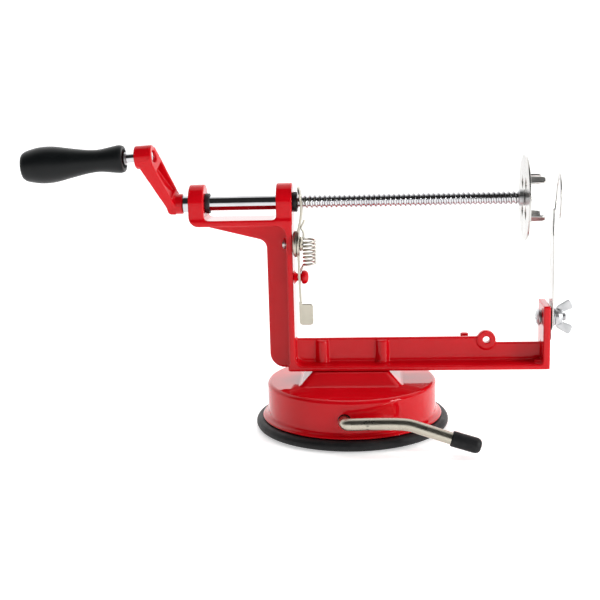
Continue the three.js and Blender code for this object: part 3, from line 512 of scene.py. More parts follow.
def frame_casting():
    corner = 6.2
    centre = (LEFT_LUG[0] + corner, BAR_LOW + corner)
    low_corner = arc(*centre, corner, 180, 270)
    bar_left = [p for p in low_corner if p[1] < BAR_TOP]
    reach = math.sqrt(corner ** 2 - (BAR_TOP - centre[1]) ** 2)
    outline = [(centre[0] - reach, BAR_TOP)] + bar_left + [(POST[1], BAR_LOW), (POST[1], BAR_TOP)]
    bar = prism("bar", "y", outline, (-FLANGE_Y, FLANGE_Y))
    parts = []
    rim = LUG_R + SHRINK
    for x0, x1 in (LEFT_LUG, RIGHT_LUG):
        shape = [(-rim, BAR_LOW + 0.4), (rim, BAR_LOW + 0.4)] + arc(0, SHAFT_Z, rim, 0, 180, 64)
        lug = prism("lug", "x", shape, (x0, x1))
        if x0 == LEFT_LUG[0]:
            outside = [(centre[0], BAR_LOW - 2), (x0 - 2, BAR_LOW - 2), (x0 - 2, centre[1])]
            lug = cut(lug, prism("waste", "y", low_corner + outside, (-20, 20)))
        parts.append(lug)
    parts.append(corner_fill(LEFT_LUG[1], BAR_TOP, 2.4, 1, 1, LUG_R))
    parts.append(corner_fill(RIGHT_LUG[0], BAR_TOP, 2.4, -1, 1, LUG_R))

    under = BAR_LOW + 0.5
    gusset = [(LEFT_LUG[1] + 1, under), (LEFT_LUG[1] + 1, under - 2)]
    gusset += softened([(LEFT_LUG[1] + 1, under - 2), (POST_WEB_X, 117.2), (POST_WEB_X, 100)], 5, 12)[1:-1]
    gusset += arc(POST_WEB_X + GUSSET_CORNER_R, RAIL[0] + GUSSET_CORNER_R, GUSSET_CORNER_R, 180, 270)
    gusset += [(POST[0] + 1, RAIL[0]), (POST[0] + 1, under)]
    parts.append(prism("gusset", "y", gusset, (-WEB_Y, WEB_Y)))
    parts.append(box(POST, (-FLANGE_Y, FLANGE_Y), (RAIL[0], BAR_TOP)))
    rail_left, rail_right = POST[0] - 0.9, RIGHT_POST[1]
    foot = [(rail_left, RAIL[1]), (rail_left, RAIL[0]), (rail_right, RAIL[0]), (rail_right, RAIL[1])]
    parts.append(prism("rail", "y", softened(foot, 1.6, 6), (-FLANGE_Y, FLANGE_Y)))
    web_left, web_right, web_foot = POST[0] + 1, RIGHT_POST[1] - 0.6, RAIL[0] + 0.4
    web = [(web_left, web_foot), (web_right, web_foot), (web_right, RAIL_WEB_LOW),
           (EAR[0] + 4.5, RAIL_WEB_LOW), (EAR[0] + 3.5, RAIL_WEB_TOP), (web_left, RAIL_WEB_TOP)]
    parts.append(prism("web", "y", softened(web, 0.6), (-WEB_Y, WEB_Y)))
    parts.append(box(RIGHT_POST, (-FLANGE_Y, FLANGE_Y), (RAIL[0], RIGHT_POST_TOP)))
    for x in BASE_SCREWS:
        parts.append(rod("z", RAIL_BOSS_R, (RAIL[0] + 0.3, RAIL_WEB_TOP - 1.3), (x, 0)))
    parts.append(rod("z", 2.6, (RAIL[0] + 0.3, RAIL_WEB_TOP + 0.2), BACK_BOSS))
    parts.append(rod("z", 3.2, (RAIL[0] + 0.3, RAIL[1] + 1.8), FOOT_BOSS))
    parts.append(corner_fill(POST[1], RAIL[1], 5.5, 1, 1, FLANGE_Y))
    parts.append(corner_fill(POST[0], BAR_LOW, 6, -1, -1, FLANGE_Y))
    parts.append(corner_fill(RIGHT_POST[0], RAIL[1], 2.2, -1, 1, FLANGE_Y))
    parts.append(rod("y", EAR_R, (-2.3, 2.3), EAR))
    parts.append(rod("y", 4.4, (1.8, 3.7), EAR))
    face = POST[1]
    peg = [(face - 1, 0), (face - 1, 4), (face + 0.4, 4), (face + 2.2, 2.1), (face + 4.3, 2.1),
           (face + 4.9, 4.4), (face + 7, 4.4), (face + 8.7, 3), (face + 9.1, 0)]
    parts.append(turned("peg", "x", peg, PEG, 0.6))
    body = join(bar, *parts)

    bores = [rod("x", 5.8, (LEFT_LUG[0] - 5, RIGHT_LUG[1] + 5), (0, SHAFT_Z)),
             rod("x", PIVOT_R + GAP, (POST[0] - 2, POST[1] + 2), PIVOT, 48),
             rod("x", CLAMP_R + GAP, (RIGHT_POST[0] - 2, RIGHT_POST[1] + 2), (0, CLAMP_Z), 48),
             rod("y", EAR_HOLE_R, (-20, 20), EAR, 48)]
    bores += [rod("z", 2.05, (RAIL[0] - 1, RAIL[0] + 10.5), (x, 0), 48) for x in BASE_SCREWS]
    return moulded(cut(body, *bores), 0.55, 6)


stands_for(frame_casting(), "frame_casting")


# ---------------------------------------------------------------- bushes, collar and feed screw
def flanged_bush(x0, x1):
    bore = SHAFT_R + GAP
    profile = [(x0 + 0.4, bore), (x0 + 0.4, 5.5), (x1 + GAP, 5.5), (x1 + GAP, 6.15), (x1 + 2.7, 6.15),
               (x1 + 2.7, bore)]
    return lathe("bush", "x", softened(profile, 0.3, 4, closed=True), (0, SHAFT_Z), closed=True)


stands_for(flanged_bush(*LEFT_LUG), "left_bush")
stands_for(flanged_bush(*RIGHT_LUG), "right_bush")
stands_for(washer("collar", "x", (HUB[1] + GAP, LEFT_LUG[0] - GAP), 5.2, SHAFT_R + GAP, (0, SHAFT_Z), 0.5),
           "thrust_collar")


def threaded(name, axis_centre, plain_before, span, plain_after, crest, root, pitch, around=64, per_turn=14):
    """A rod along X with a rolled right-hand thread over the span. The plain parts list (x, radius)."""
    verts = []
    rows = []

    def add_row(x, radius_at):
        rows.append(list(range(len(verts), len(verts) + around)))
        for k in range(around):
            turn = k / around
            radius = radius_at(turn)
            angle = 2 * math.pi * turn
            verts.append(on_axis("x", x, radius * math.cos(angle), radius * math.sin(angle), axis_centre))

    for x, radius in plain_before:
        add_row(x, lambda turn, radius=radius: radius)
    count = int((span[1] - span[0]) / pitch * per_turn)
    for i in range(count + 1):
        x = span[0] + (span[1] - span[0]) * i / count
        fade = min(1.0, (x - span[0]) / (0.6 * pitch), (span[1] - x) / (0.4 * pitch))

        def radius_at(turn, x=x, fade=fade):
            phase = abs(((x - span[0]) / pitch - turn) % 1.0 - 0.5)
            return root + (crest - root) * smooth_step((0.37 - phase) / 0.22) * fade
        add_row(x, radius_at)
    for x, radius in plain_after:
        add_row(x, lambda turn, radius=radius: radius)
    faces = []
    for a, b in zip(rows, rows[1:]):
        for k in range(around):
            n = (k + 1) % around
            faces.append((a[k], a[n], b[n], b[k]))
    for row, flip in ((rows[0], False), (rows[-1], True)):
        centre = len(verts)
        verts.append((verts[row[0]][0], *axis_centre))
        for k in range(around):
            n = (k + 1) % around
            faces.append((centre, row[n], row[k]) if not flip else (centre, row[k], row[n]))
    return piece(name, verts, faces)


def feed_screw():
    step = HUB[1] + GAP
    before = softened([(HUB[0] + 1.5, 2.9), (HUB[0] + 2.0, 3.4), (step, 3.4), (step + 0.01, SHAFT_R)], 0.2)
    before += softened([(step + 0.02, SHAFT_R - 0.3), (step + 0.3, SHAFT_R), (THREAD_START - 1.4, SHAFT_R),
                        (THREAD_START - 0.2, THREAD_ROOT_R)], 0.4)
    nose = FORK_X + FORK_THICK
    after = softened([(THREAD_END + 0.1, 3), (nose + 2.8, 3), (nose + 3.6, 2.2)], 0.4)
    after.append((nose + 3.6, 1.0))
    return threaded("screw", (0, SHAFT_Z), before, (THREAD_START, THREAD_END), after, THREAD_R, THREAD_ROOT_R,
                    THREAD_PITCH)


stands_for(feed_screw(), "feed_screw")


# ---------------------------------------------------------------- fork
def fork_disc():
    x, thick = FORK_X, FORK_THICK
    bore = FORK_BORE_R + GAP
    rim = softened([(x, bore), (x, FORK_R), (x + thick, FORK_R), (x + thick, bore)], 0.45, 4, closed=True)
    body = lathe("disc", "x", rim, (0, 0), 160, closed=True)
    for degrees in (42, 138, 222, 318):
        turn = Matrix.Rotation(math.radians(degrees), 4, "X")
        slot = moved(box((x - 1, x + thick + 1), (-3, 3), (PRONG_Z - 4.5, PRONG_Z + 3.5)), turn)
        tip = x + PRONG_REACH
        shape = [(x + 0.2, -PRONG_HALF), (x + 0.2, PRONG_HALF), (tip - 1.6, 2.4), (tip, 1.6), (tip, -1.6),
                 (tip - 1.6, -2.4)]
        blade = moved(prism("prong", "z", shape, (PRONG_Z + 1.9, PRONG_Z + 3.2)), turn)
        root = moved(box((x, x + thick), (-PRONG_HALF, PRONG_HALF), (PRONG_Z + 1.9, PRONG_Z + 3.9)), turn)
        body = join(cut(body, slot), join(blade, root))
    return moved(moulded(body, 0.3, 3), shift(0, 0, SHAFT_Z))


stands_for(fork_disc(), "fork_disc")
stands_for(washer("nut", "x", (THREAD_END + GAP, FORK_X - GAP), 4.9, FORK_BORE_R + GAP, (0, SHAFT_Z), 0.5),
           "fork_nut")


# ---------------------------------------------------------------- crank and grip
BOSS_MID = (BOSS[0] + BOSS[1]) / 2
LEANING = shift(0, 0, SHAFT_Z) @ Matrix.Rotation(LEAN, 4, "X")
DROOPED = shift(BOSS_MID, 0, CRANK_RADIUS) @ Matrix.Rotation(-DROOP, 4, "Y") @ shift(-BOSS_MID, 0, 0)
HUB_MID = (HUB[0] + HUB[1]) / 2
UPSIDE_DOWN = Matrix.Rotation(math.pi, 4, "X")


def crank_arm():
    hub = turned("hub", "x", [(HUB[0], 0), (HUB[0], 6.2), (HUB[1], 6.2), (HUB[1], 0)], soft=0.5)
    boss = turned("boss", "x", [(BOSS[0], 0), (BOSS[0], BOSS_R), (BOSS[1], BOSS_R), (BOSS[1], 0)], soft=0.9)
    boss = moved(boss, DROOPED)
    side = softened([(-110.7, 1.5), (-109.7, -3.9), (HUB[0] + 2, -3.9)], 2.6, 8)
    side += [(HUB[0] + 2, 4), (-106.2, 6.4), (-116.2, CRANK_RADIUS + 3), (-123.6, CRANK_RADIUS - 2)]
    limb = prism("limb", "y", side, (-1, 1))
    pocket = prism("pocket", "y", softened([(-98, 7.4), (-109, 7.4), (-119, CRANK_RADIUS - 6.6),
                                            (-107.0, CRANK_RADIUS - 6.6)], 1.5, 4, closed=True), (-1, 1))
    for solid, low, high in ((limb, 6.1, 7.0), (pocket, 4.8, 5.5)):
        # the limb widens towards the boss, and its open face turns a little towards the operator
        for vertex in solid.data.vertices:
            side_sign = 1 if vertex.co.y > 0 else -1
            rise = min(max(vertex.co.z / (CRANK_RADIUS * MM), 0), 1)
            vertex.co.y = side_sign * (low + (high - low) * rise) * MM
            vertex.co.x += LIMB_SKEW * vertex.co.y
    bore = rod("x", 3.4 + GAP, (HUB[0] - 1, HUB[1] + 1), (0, 0))
    spindle_bore = moved(join(rod("x", SPINDLE_R + GAP, (BOSS[0] - 2, BOSS[1] + 2), (0, 0)),
                              rod("x", SPINDLE_RECESS_R, (BOSS[1] - 1.6, BOSS[1] + 4), (0, 0))), DROOPED)
    grub = moved(rod("z", GRUB_R + GAP, (0, 8), (HUB_MID, 0), 32), UPSIDE_DOWN)
    body = cut(join(hub, boss, limb), pocket, bore, spindle_bore, grub)
    return moved(moulded(body, 0.35, 6), LEANING)


stands_for(crank_arm(), "crank_arm")


def crank_set_screw():
    profile = [(3.8, 0), (3.8, GRUB_R), (6.1, GRUB_R), (6.1, 0)]
    body = turned("grub", "z", profile, (HUB_MID, 0), segments=40)
    body = cut(body, box((HUB_MID - 2, HUB_MID + 2), (-0.35, 0.35), (5.3, 7.2)))
    return moved(body, LEANING @ UPSIDE_DOWN)


stands_for(crank_set_screw(), "crank_set_screw")


def handle_spindle():
    head = BOSS[1] - 1.3
    tail, collar = GRIP_START - 50, GRIP_START + 1.6
    profile = [(tail, 0), (tail, SPINDLE_R), (collar, SPINDLE_R), (collar, 2.8), (BOSS[0] - GAP, 2.8),
               (BOSS[0] - GAP, SPINDLE_R), (head, SPINDLE_R), (head, 3.1), (head + 0.4, 3.1),
               (head + 0.9, 2.2), (head + 1.1, 0)]
    return moved(turned("spindle", "x", profile, soft=0.3), LEANING @ DROOPED)


stands_for(handle_spindle(), "handle_spindle")
stands_for(moved(washer("ferrule", "x", (GRIP_START + GAP, GRIP_START + 1.2), 3.9, SPINDLE_R + GAP),
                 LEANING @ DROOPED), "grip_washer")


def grip():
    outer = smooth_path([(7.6, 0), (8.35, 2.4), (8.0, 6), (6.95, 13), (6.7, 18), (7.45, 25), (9.1, 34),
                         (10.6, 42), (11.05, 48), (10.75, 53), (9.9, 57.5), (9.0, 60.6), (7.9, 62.3)], 8)
    start = GRIP_START
    bore_end, bore = start - 50.6, SPINDLE_R + GAP
    profile = [(bore_end, 0), (bore_end, bore), (start - 2.2, bore), (start - 2.2, 5.6), (start - 0.3, 5.9),
               (start, 6.3)]
    profile += [(start - along, radius) for radius, along in outer[1:]]
    profile += [(start - 62.75, 6.6), (start - 62.8, 1.5), (start - 63.1, 1.3), (start - GRIP_LENGTH, 0)]
    body = lathe("grip", "x", profile, segments=128)
    return moved(body, LEANING @ DROOPED)


stands_for(grip(), "grip")


# ---------------------------------------------------------------- release lever and its spring
LEVER_FACE = -31.2
LEVER_THICK = 1.3
LEVER_FRONT = -14.4
LEVER_EYE_R = 8.5
TAB_RIGHT = -22.2
TAB_Z = (66.7, 79.9)
SPRING_HOLE = (-4.2, 125.4)
SPRING_HOLE_R = 1.6
SPRING_WIRE_R = 0.74


def release_lever():
    bow = smooth_path([(0, 153), (1.4, 147), (2.4, 140.5), (1.8, 132), (0.2, 124.5), (0, 117), (0.1, 106),
                       (0.3, 94), (0.7, 82), (0.9, 64)], 6)
    near = [(LEVER_FACE + x, z) for x, z in bow]
    band = prism("band", "y", near + [(x + LEVER_THICK, z) for x, z in reversed(near)], (-30, 30))
    across = (LEVER_FACE - 10, LEVER_FACE + 10)
    top = SHAFT_Z + 9.9
    head = [(-13, PIVOT[1])] + arc(-8.4, top - 4.6, 4.6, 180, 90, 12)
    head += [(-1.6, top), (-1.6, SHAFT_Z - 8), (PIVOT[0] + 7.6, PIVOT[1] + 8), (PIVOT[0] + 7.2, PIVOT[1])]
    strip = [(LEVER_FRONT, 64), (-9.6, 64), (-9.2, PIVOT[1]), (-14.2, PIVOT[1])]
    plan = join(prism("head", "x", head, across), rod("x", LEVER_EYE_R, across, PIVOT),
                prism("strip", "x", strip, across))
    plan = cut(plan, rod("x", THREAD_R + GAP, across, (0, SHAFT_Z)),
               rod("x", PIVOT_R + GAP, across, PIVOT, 48), rod("x", SPRING_HOLE_R, across, SPRING_HOLE, 32),
               box(across, (-20, 0), (60, TAB_Z[1] - 0.3)))
    band = common(band, plan)
    x0 = LEVER_FACE + 0.4
    thickness = (LEVER_FRONT, LEVER_FRONT + LEVER_THICK)
    tab = [(x0, TAB_Z[0]), (TAB_RIGHT, TAB_Z[0]), (TAB_RIGHT, TAB_Z[1]), (x0, TAB_Z[1])]
    tab = prism("tab", "y", softened(tab, 2.2, 6, closed=True), thickness)
    neck = box((x0, LEVER_FACE + 2.4), (thickness[0], thickness[1] + 0.4), (TAB_Z[1] - 6, TAB_Z[1] + 1))
    return moulded(join(band, tab, neck), 0.28, 3)


stands_for(release_lever(), "release_lever")


def release_spring():
    centre = (-24.2, -3.6)
    coil_r = 3.7
    turns = 7
    low, high = 102.6, 118.4
    per_turn = 28
    count = turns * per_turn
    left = centre[0] - coil_r
    points = smooth_path([(-31.0, -1.2, PEG[1] + 2.6), (-30.6, -3.4, PEG[1] + 3.3),
                          (-29.2, -4.2, PEG[1] + 5.6), (left, centre[1], low)], 6)[:-1]
    for i in range(count + 1):
        angle = math.pi + 2 * math.pi * i / per_turn
        points.append((centre[0] + coil_r * math.cos(angle), centre[1] + coil_r * math.sin(angle),
                       low + (high - low) * i / count))
    # the hook sits on the side of its hole that gives the lever room to turn
    hook = (SPRING_HOLE[0] - 0.6, SPRING_HOLE[1] + 0.3)
    points += smooth_path([(left, centre[1], high), (-27.6, -4, hook[1] - 3.4),
                           (-28.9, hook[0], hook[1] - 0.5), (-30.7, hook[0], hook[1])], 6)[1:]
    tail = smooth_path([(-29.0, hook[0], hook[1] - 0.4), (-28.3, hook[0] - 0.1, hook[1] + 1.4),
                        (-27.3, hook[0] - 0.2, hook[1] + 3.2), (-26.8, hook[0] - 0.2, hook[1] + 4.7)], 6)
    return join(swept("spring", points, SPRING_WIRE_R, 16), swept("tail", tail, SPRING_WIRE_R - 0.08, 16))


stands_for(release_spring(), "release_spring", finish=WIRE)


def lever_pivot_screw():
    low, high = POST[0] - 2.5, LEVER_FACE + LEVER_THICK + GAP
    profile = [(low, 0), (low, PIVOT_R - 0.3), (low + 0.4, PIVOT_R), (high, PIVOT_R), (high, 4.4),
               (high + 0.9, 4.4), (high + 1.9, 2.8), (high + 2.1, 0)]
    body = turned("pivot", "x", profile, PIVOT, 0.4)
    slot = box((high + 1, high + 3), (PIVOT[0] - 6, PIVOT[0] + 6), (PIVOT[1] - 0.4, PIVOT[1] + 0.4))
    return cut(body, slot)


stands_for(lever_pivot_screw(), "lever_pivot_screw")


def lever_spacer():
    x0, x1, bore = POST[1] + GAP, LEVER_FACE - GAP, PIVOT_R + GAP
    profile = [(x0, bore), (x0, 6.4), (x0 + 0.7, 7.7), (x0 + 1.5, 8.2), (x1, 8.2), (x1, bore)]
    return lathe("spacer", "x", softened(profile, 0.35, 4, closed=True), PIVOT, 128, closed=True)


stands_for(lever_spacer(), "lever_spacer")


def lever_pivot_nut():
    low, high = POST[0] - 2.0, POST[0] - GAP
    corner_r = 3.1
    corners = arc(*PIVOT, corner_r, 0, 300, 5)
    chamfered = [(low, 0), (low, corner_r - 0.4), (low + 0.4, corner_r), (high, corner_r), (high, 0)]
    body = common(prism("nut", "x", corners, (low, high)), lathe("chamfer", "x", chamfered, PIVOT))
    return cut(body, rod("x", PIVOT_R + GAP, (low - 1, high + 1), PIVOT, 48))


stands_for(lever_pivot_nut(), "lever_pivot_nut")


# ---------------------------------------------------------------- blade and its clamp
def slicing_blade():
    x, thick, bore, ring, rise = 123.0, 0.9, 11.2, 14.7, 2.7
    steps = 120
    verts = []
    for i in range(steps + 1):
        angle = math.radians(-62 + 300 * i / steps)
        lift = x + rise * (1 - (1 - i / steps) ** 6)
        for radius, ahead in ((bore, 0), (ring, 0), (ring, thick), (bore, thick)):
            verts.append((lift + ahead, radius * math.cos(angle), SHAFT_Z + radius * math.sin(angle)))
    faces = [(0, 1, 2, 3), tuple(4 * steps + k for k in (3, 2, 1, 0))]
    for i in range(steps):
        for k in range(4):
            n = (k + 1) % 4
            faces.append((4 * i + k, 4 * i + 4 + k, 4 * i + 4 + n, 4 * i + n))
    loop = piece("loop", verts, faces)
    half = 8.5
    shank = arc(0, CLAMP_Z, half, 180, 360, 32)
    shank += [(half, SHAFT_Z - 12), (8.1, SHAFT_Z - 8.1)]
    shank += smooth_path([(4.6, SHAFT_Z - 9.8), (0, SHAFT_Z - 14), (-half, SHAFT_Z - 22)], 8)[1:]
    flat = prism("shank", "x", shank, (x, x + thick))
    flat = cut(flat, rod("x", CLAMP_R + GAP, (x - 1, x + thick + 1), (0, CLAMP_Z), 48))
    body = moulded(join(flat, loop), 0.3, 2)
    # the shank's top is bent a little away from the fork, and twisted with the loop out of the clamp's plane
    for vert in body.data.vertices:
        over_shaft = vert.co.z / MM - SHAFT_Z
        vert.co.x += 0.08 * smooth_step((over_shaft + 34) / 22) * vert.co.y
        vert.co.x += 1.2 * MM * smooth_step((over_shaft + 24) / 15)
    return body


stands_for(slicing_blade(), "slicing_blade")


def blade_shim():
    low, high, half = 54.1, 71.4, 8.5
    shape = softened([(-half, low), (half, low), (half, high), (-half, high)], 2, 6, closed=True)
    return cut(prism("shim", "x", shape, (122, 122.6)), rod("x", CLAMP_R + GAP, (121, 124), (0, CLAMP_Z), 48))


stands_for(blade_shim(), "blade_shim", even=False)


def clamp_bolt():
    head = RIGHT_POST[0] - 1.2
    dome = [(head - 2.3, 0), (head - 2.2, 2), (head - 1.6, 4.1), (head - 0.6, 5.3), (head - 0.3, 5.4),
            (head, 5.4), (head, 0)]
    cap = turned("head", "x", dome, (0, CLAMP_Z), 0.5)
    cap = cut(cap, box((head - 5, head - 1.4), (-6, 6), (CLAMP_Z - 0.5, CLAMP_Z + 0.5)))
    shank = threaded("shank", (0, CLAMP_Z), [(head - 0.2, 2.2), (126, 2.2)], (126.1, 132.2), [(132.6, 1.7)],
                     CLAMP_R, 2.15, 1.0, 48, 10)
    return join(cap, shank)


stands_for(clamp_bolt(), "clamp_bolt")
stands_for(washer("washer", "x", (RIGHT_POST[0] - 0.9, RIGHT_POST[0] - GAP), 4.6, CLAMP_R + GAP, (0, CLAMP_Z),
                  0.15), "bolt_head_washer")
stands_for(washer("washer", "x", (124.4, WING_NUT_X - GAP), 6, CLAMP_R + GAP, (0, CLAMP_Z)), "blade_washer")


def wing_nut():
    x = WING_NUT_X
    body = turned("hub", "x", [(x, 0), (x, 5.4), (x + 2.2, 5.2), (x + 4.6, 4.2), (x + 4.6, 0)], soft=0.5)
    wing = softened([(x + 0.8, 3.2), (x + 1.1, 6.6), (x + 7.4, 10.4), (x + 8.6, 10.9), (x + 9.7, 9.6),
                     (x + 10.9, 7), (x + 11.0, 5.7), (x + 9.8, 5), (x + 4.3, 2.9)], 1.4, 4, closed=True)
    for side in (1, -1):
        body = join(body, prism("wing", "y", [(u, side * v) for u, v in wing], (-WING_HALF, WING_HALF)))
    body = cut(body, rod("x", CLAMP_R + GAP, (x - 1, x + 6), (0, 0), 48))
    return moved(moulded(body, 0.25, 6), shift(0, 0, CLAMP_Z))


stands_for(wing_nut(), "wing_nut")


# ---------------------------------------------------------------- suction base
def loft(name, sections):
    """A block through rounded rectangles. Each section is (half x, half y, corner radius, z)."""
    verts = []
    faces = []
    steps = 8
    count = 4 * (steps + 1)
    for half_x, half_y, corner, z in sections:
        for quarter, (sx, sy) in enumerate(((1, 1), (-1, 1), (-1, -1), (1, -1))):
            for k in range(steps + 1):
                angle = math.radians(90 * quarter + 90 * k / steps)
                verts.append((sx * (half_x - corner) + corner * math.cos(angle),
                              sy * (half_y - corner) + corner * math.sin(angle), z))
    for row in range(len(sections) - 1):
        for k in range(count):
            n = (k + 1) % count
            faces.append((row * count + k, row * count + n, (row + 1) * count + n, (row + 1) * count + k))
    top = (len(sections) - 1) * count
    faces += [tuple(range(count - 1, -1, -1)), tuple(range(top, top + count))]
    return piece(name, verts, faces)


def suction_pad():
    profile = [(0, 0), (0, 57.2), (0.9, 59.5), (2.4, 60.4), (4.0, 60.4), (5.6, 59.5), (PAD_THICK, 57.9),
               (PAD_THICK, SKIRT_R - 8), (3, SKIRT_R - 10), (3, 12), (5, 11), (5, 4.4), (2, 4.4), (2, 0)]
    return turned("pad", "z", profile, soft=0.6, segments=256)


stands_for(suction_pad(), "suction_pad")


def dome_with_pedestal():
    foot = PAD_THICK + GAP
    skirt = [(foot, 0), (foot, SKIRT_R - 0.6), (foot + 0.5, SKIRT_R), (7.4, SKIRT_R), (7.9, SKIRT_R - 0.5)]
    flare = smooth_path([(7.9, SKIRT_R - 0.5), (8.3, DOME_R + 1.8), (8.9, DOME_R + 0.8), (9.7, DOME_R + 0.15),
                         (10.6, DOME_R)], 6)
    crown = arc(DOME_TOP - 2.3, DOME_R - 2.3, 2.3, 90, 0, 12)
    outer = skirt + flare[1:] + [(z, r) for z, r in crown] + [(DOME_TOP, 0)]
    body = lathe("dome", "z", outer, segments=256)
    pedestal = loft("pedestal", [(33.4, 24.2, 5.6, DOME_TOP - 1), (32.2, 23.2, 5.0, DOME_TOP + 0.05),
                                 (31.2, 22.3, 4.4, DOME_TOP + 0.35), (30.5, 21.4, 4.0, DOME_TOP + 0.9),
                                 (24.4, 14.0, 3.0, PEDESTAL_TOP - 0.6),
                                 (23.9, 13.5, 2.7, PEDESTAL_TOP - 0.15), (23.3, 12.9, 2.2, PEDESTAL_TOP)])
    body = join(body, pedestal)
    inner_r, ceiling = DOME_R - WALL, DOME_TOP - WALL
    inner = lathe("inner", "z", [(foot - 1, 0), (foot - 1, SKIRT_R - 6.5), (13, inner_r),
                                 (DOME_TOP - 6, inner_r), (ceiling, DOME_R - 8), (ceiling, 0)], segments=160)
    hollow = loft("hollow", [(30, 20, 4, ceiling - 1), (13.5, 10.2, 2, PEDESTAL_TOP - 3.2)])
    body = cut(body, inner, hollow)
    body = join(body, box((AXLE_X - 5.5, AXLE_X + 5.5), (11, 16), (11, PEDESTAL_TOP - 2)))
    # the hole that the lever comes out of has a rounded lip
    wall = -DOME_R
    hole = [(wall - 4, 0), (wall - 4, WALL_HOLE_R + 1.2), (wall - 0.1, WALL_HOLE_R + 0.4),
            (wall + 0.5, WALL_HOLE_R), (wall + 10, WALL_HOLE_R), (wall + 10, 0)]
    bores = [rod("y", AXLE_R + GAP, (9, 18), (AXLE_X, AXLE_Z), 48),
             lathe("hole", "y", hole, (AXLE_X, AXLE_Z), 64)]
    for x in BASE_SCREWS:
        bores.append(rod("z", 4.8, (DOME_TOP - 6, PEDESTAL_TOP - 3.6), (x, 0), 48))
        bores.append(rod("z", 2 + GAP, (DOME_TOP - 6, PEDESTAL_TOP + 1), (x, 0), 48))
    return cut(body, *bores)


stands_for(dome_with_pedestal(), "base_dome")


def lever_path():
    return smooth_path([(AXLE_X, -53.4, AXLE_Z), (AXLE_X, -56, AXLE_Z),
                        (AXLE_X + 1.4, ARM_Y + 1.5, AXLE_Z + 0.2), (AXLE_X + 5.2, ARM_Y, AXLE_Z + 0.5),
                        (12, ARM_Y, AXLE_Z + 0.7),
                        (27, ARM_Y - 0.2, AXLE_Z + 0.7), (35, ARM_Y - 0.7, AXLE_Z + 0.1),
                        (42, ARM_Y - 1.6, AXLE_Z - 1.9), (56, ARM_Y - 3.3, AXLE_Z - 6.2),
                        (66, ARM_Y - 4.5, AXLE_Z - 9), ARM_END], 10)


def stop_pip():
    """The small raised pip on the front of the arm."""
    front = ARM_Y - ARM_R
    profile = [(front - 0.4, 0), (front - 0.3, 0.7), (front + 0.4, 1.3), (front + 1, 0)]
    return lathe("pip", "y", profile, (10.6, AXLE_Z - 0.2), 32)


def suction_lever():
    # the crank pin that works the stud stands off the axle's centre
    angle, throw = math.radians(-75), 2
    pin = (AXLE_X - throw * math.cos(angle), AXLE_Z + throw * math.sin(angle))
    body = rod("y", AXLE_R, (4.4, 19.5), (AXLE_X, AXLE_Z), 64)
    body = join(body, rod("y", 2.4, (-5, 5), pin, 48), rod("y", AXLE_R, (-55.4, -4.4), (AXLE_X, AXLE_Z), 64),
                swept("arm", lever_path(), ARM_R + 0.08, 48), stop_pip())
    groove = washer("groove", "y", (16.5, 17.6), AXLE_R + 1, AXLE_R - 0.7, (AXLE_X, AXLE_Z), 0.05)
    return moulded(cut(body, groove), 0.38, 4)


stands_for(suction_lever(), "suction_lever")


def lever_cap():
    start = Vector((58.6, ARM_Y - 3.6, AXLE_Z - 6.9))
    end = Vector(ARM_END)
    along = end - start
    length = along.length + 1.6
    bore = ARM_R + GAP
    outer = softened([(0.3, bore), (0, bore + 0.3), (0.2, CAP_R - 0.25), (0.9, CAP_R), (length - 3, CAP_R),
                      (length - 1.3, CAP_R - 0.7), (length - 0.3, CAP_R - 2), (length, 0)], 0.8, 5)
    inner = [(length - 1.2, 0), (length - 1.2, bore)]
    body = lathe("cap", "z", inner + outer)
    turn = Vector((0, 0, 1)).rotation_difference(along.normalized()).to_matrix().to_4x4()
    return moved(body, shift(*start) @ turn)


stands_for(lever_cap(), "lever_cap")
stands_for(washer("clip", "y", (16.7, 17.4), AXLE_R + 2.2, AXLE_R - 0.4, (AXLE_X, AXLE_Z), 0.15),
           "lever_clip")
stands_for(washer("grommet", "y", (-DOME_R + 1.5, -DOME_R + 6), WALL_HOLE_R - 0.05, AXLE_R + GAP * 0.6,
                  (AXLE_X, AXLE_Z), 0.15), "lever_grommet")


def base_screw(x):
    seat = PEDESTAL_TOP - 3.6 - GAP
    profile = [(seat - 2.6, 0), (seat - 2.4, 3), (seat - 1.2, 4), (seat, 4), (seat, 2), (seat + 1, 1.75),
               (RAIL[0] + 9, 1.75), (RAIL[0] + 10, 0.6), (RAIL[0] + 10, 0)]
    body = turned("screw", "z", profile, (x, 0), 0.3, 48)
    depth = (seat - 4.6, seat - 1.6)
    return cut(body, box((x - 2, x + 2), (-0.4, 0.4), depth), box((x - 0.4, x + 0.4), (-2, 2), depth))


stands_for(base_screw(BASE_SCREWS[0]), "base_screw_left")
stands_for(base_screw(BASE_SCREWS[1]), "base_screw_right")


def pull_stud():
    stem = rod("z", 4, (2 + GAP, 10.6), (0, 0), 64)
    head = box((AXLE_X - 7.2, AXLE_X + 9), (-3, 3), (9.4, 21.8))
    window = box((AXLE_X - 5.3, AXLE_X + 5.3), (-4, 4), (11.2, 18.2))
    return moulded(cut(join(stem, head), window), 0.35, 4)


stands_for(pull_stud(), "pull_stud")


# ---------------------------------------------------------------- floor, light and camera
def floor():
    half, under = 8000, -0.4
    verts = [(x * half, y * half, under) for x, y in ((-1, -1), (1, -1), (1, 1), (-1, 1))]
    obj = piece("floor", verts, [(0, 1, 2, 3)])
    material = surface("pale_floor", (0.93, 0.93, 0.93), (0.90, 0.90, 0.90), (0.55, 0.65), grain_scale=80.0,
                       bump=0.02, mottle=6.0, specular=0.2)
    shader = material.node_tree.nodes["Principled BSDF"]
    shader.inputs["Emission Color"].default_value = (1, 1, 1, 1)
    shader.inputs["Emission Strength"].default_value = 0.5
    obj.data.materials.append(material)


floor()


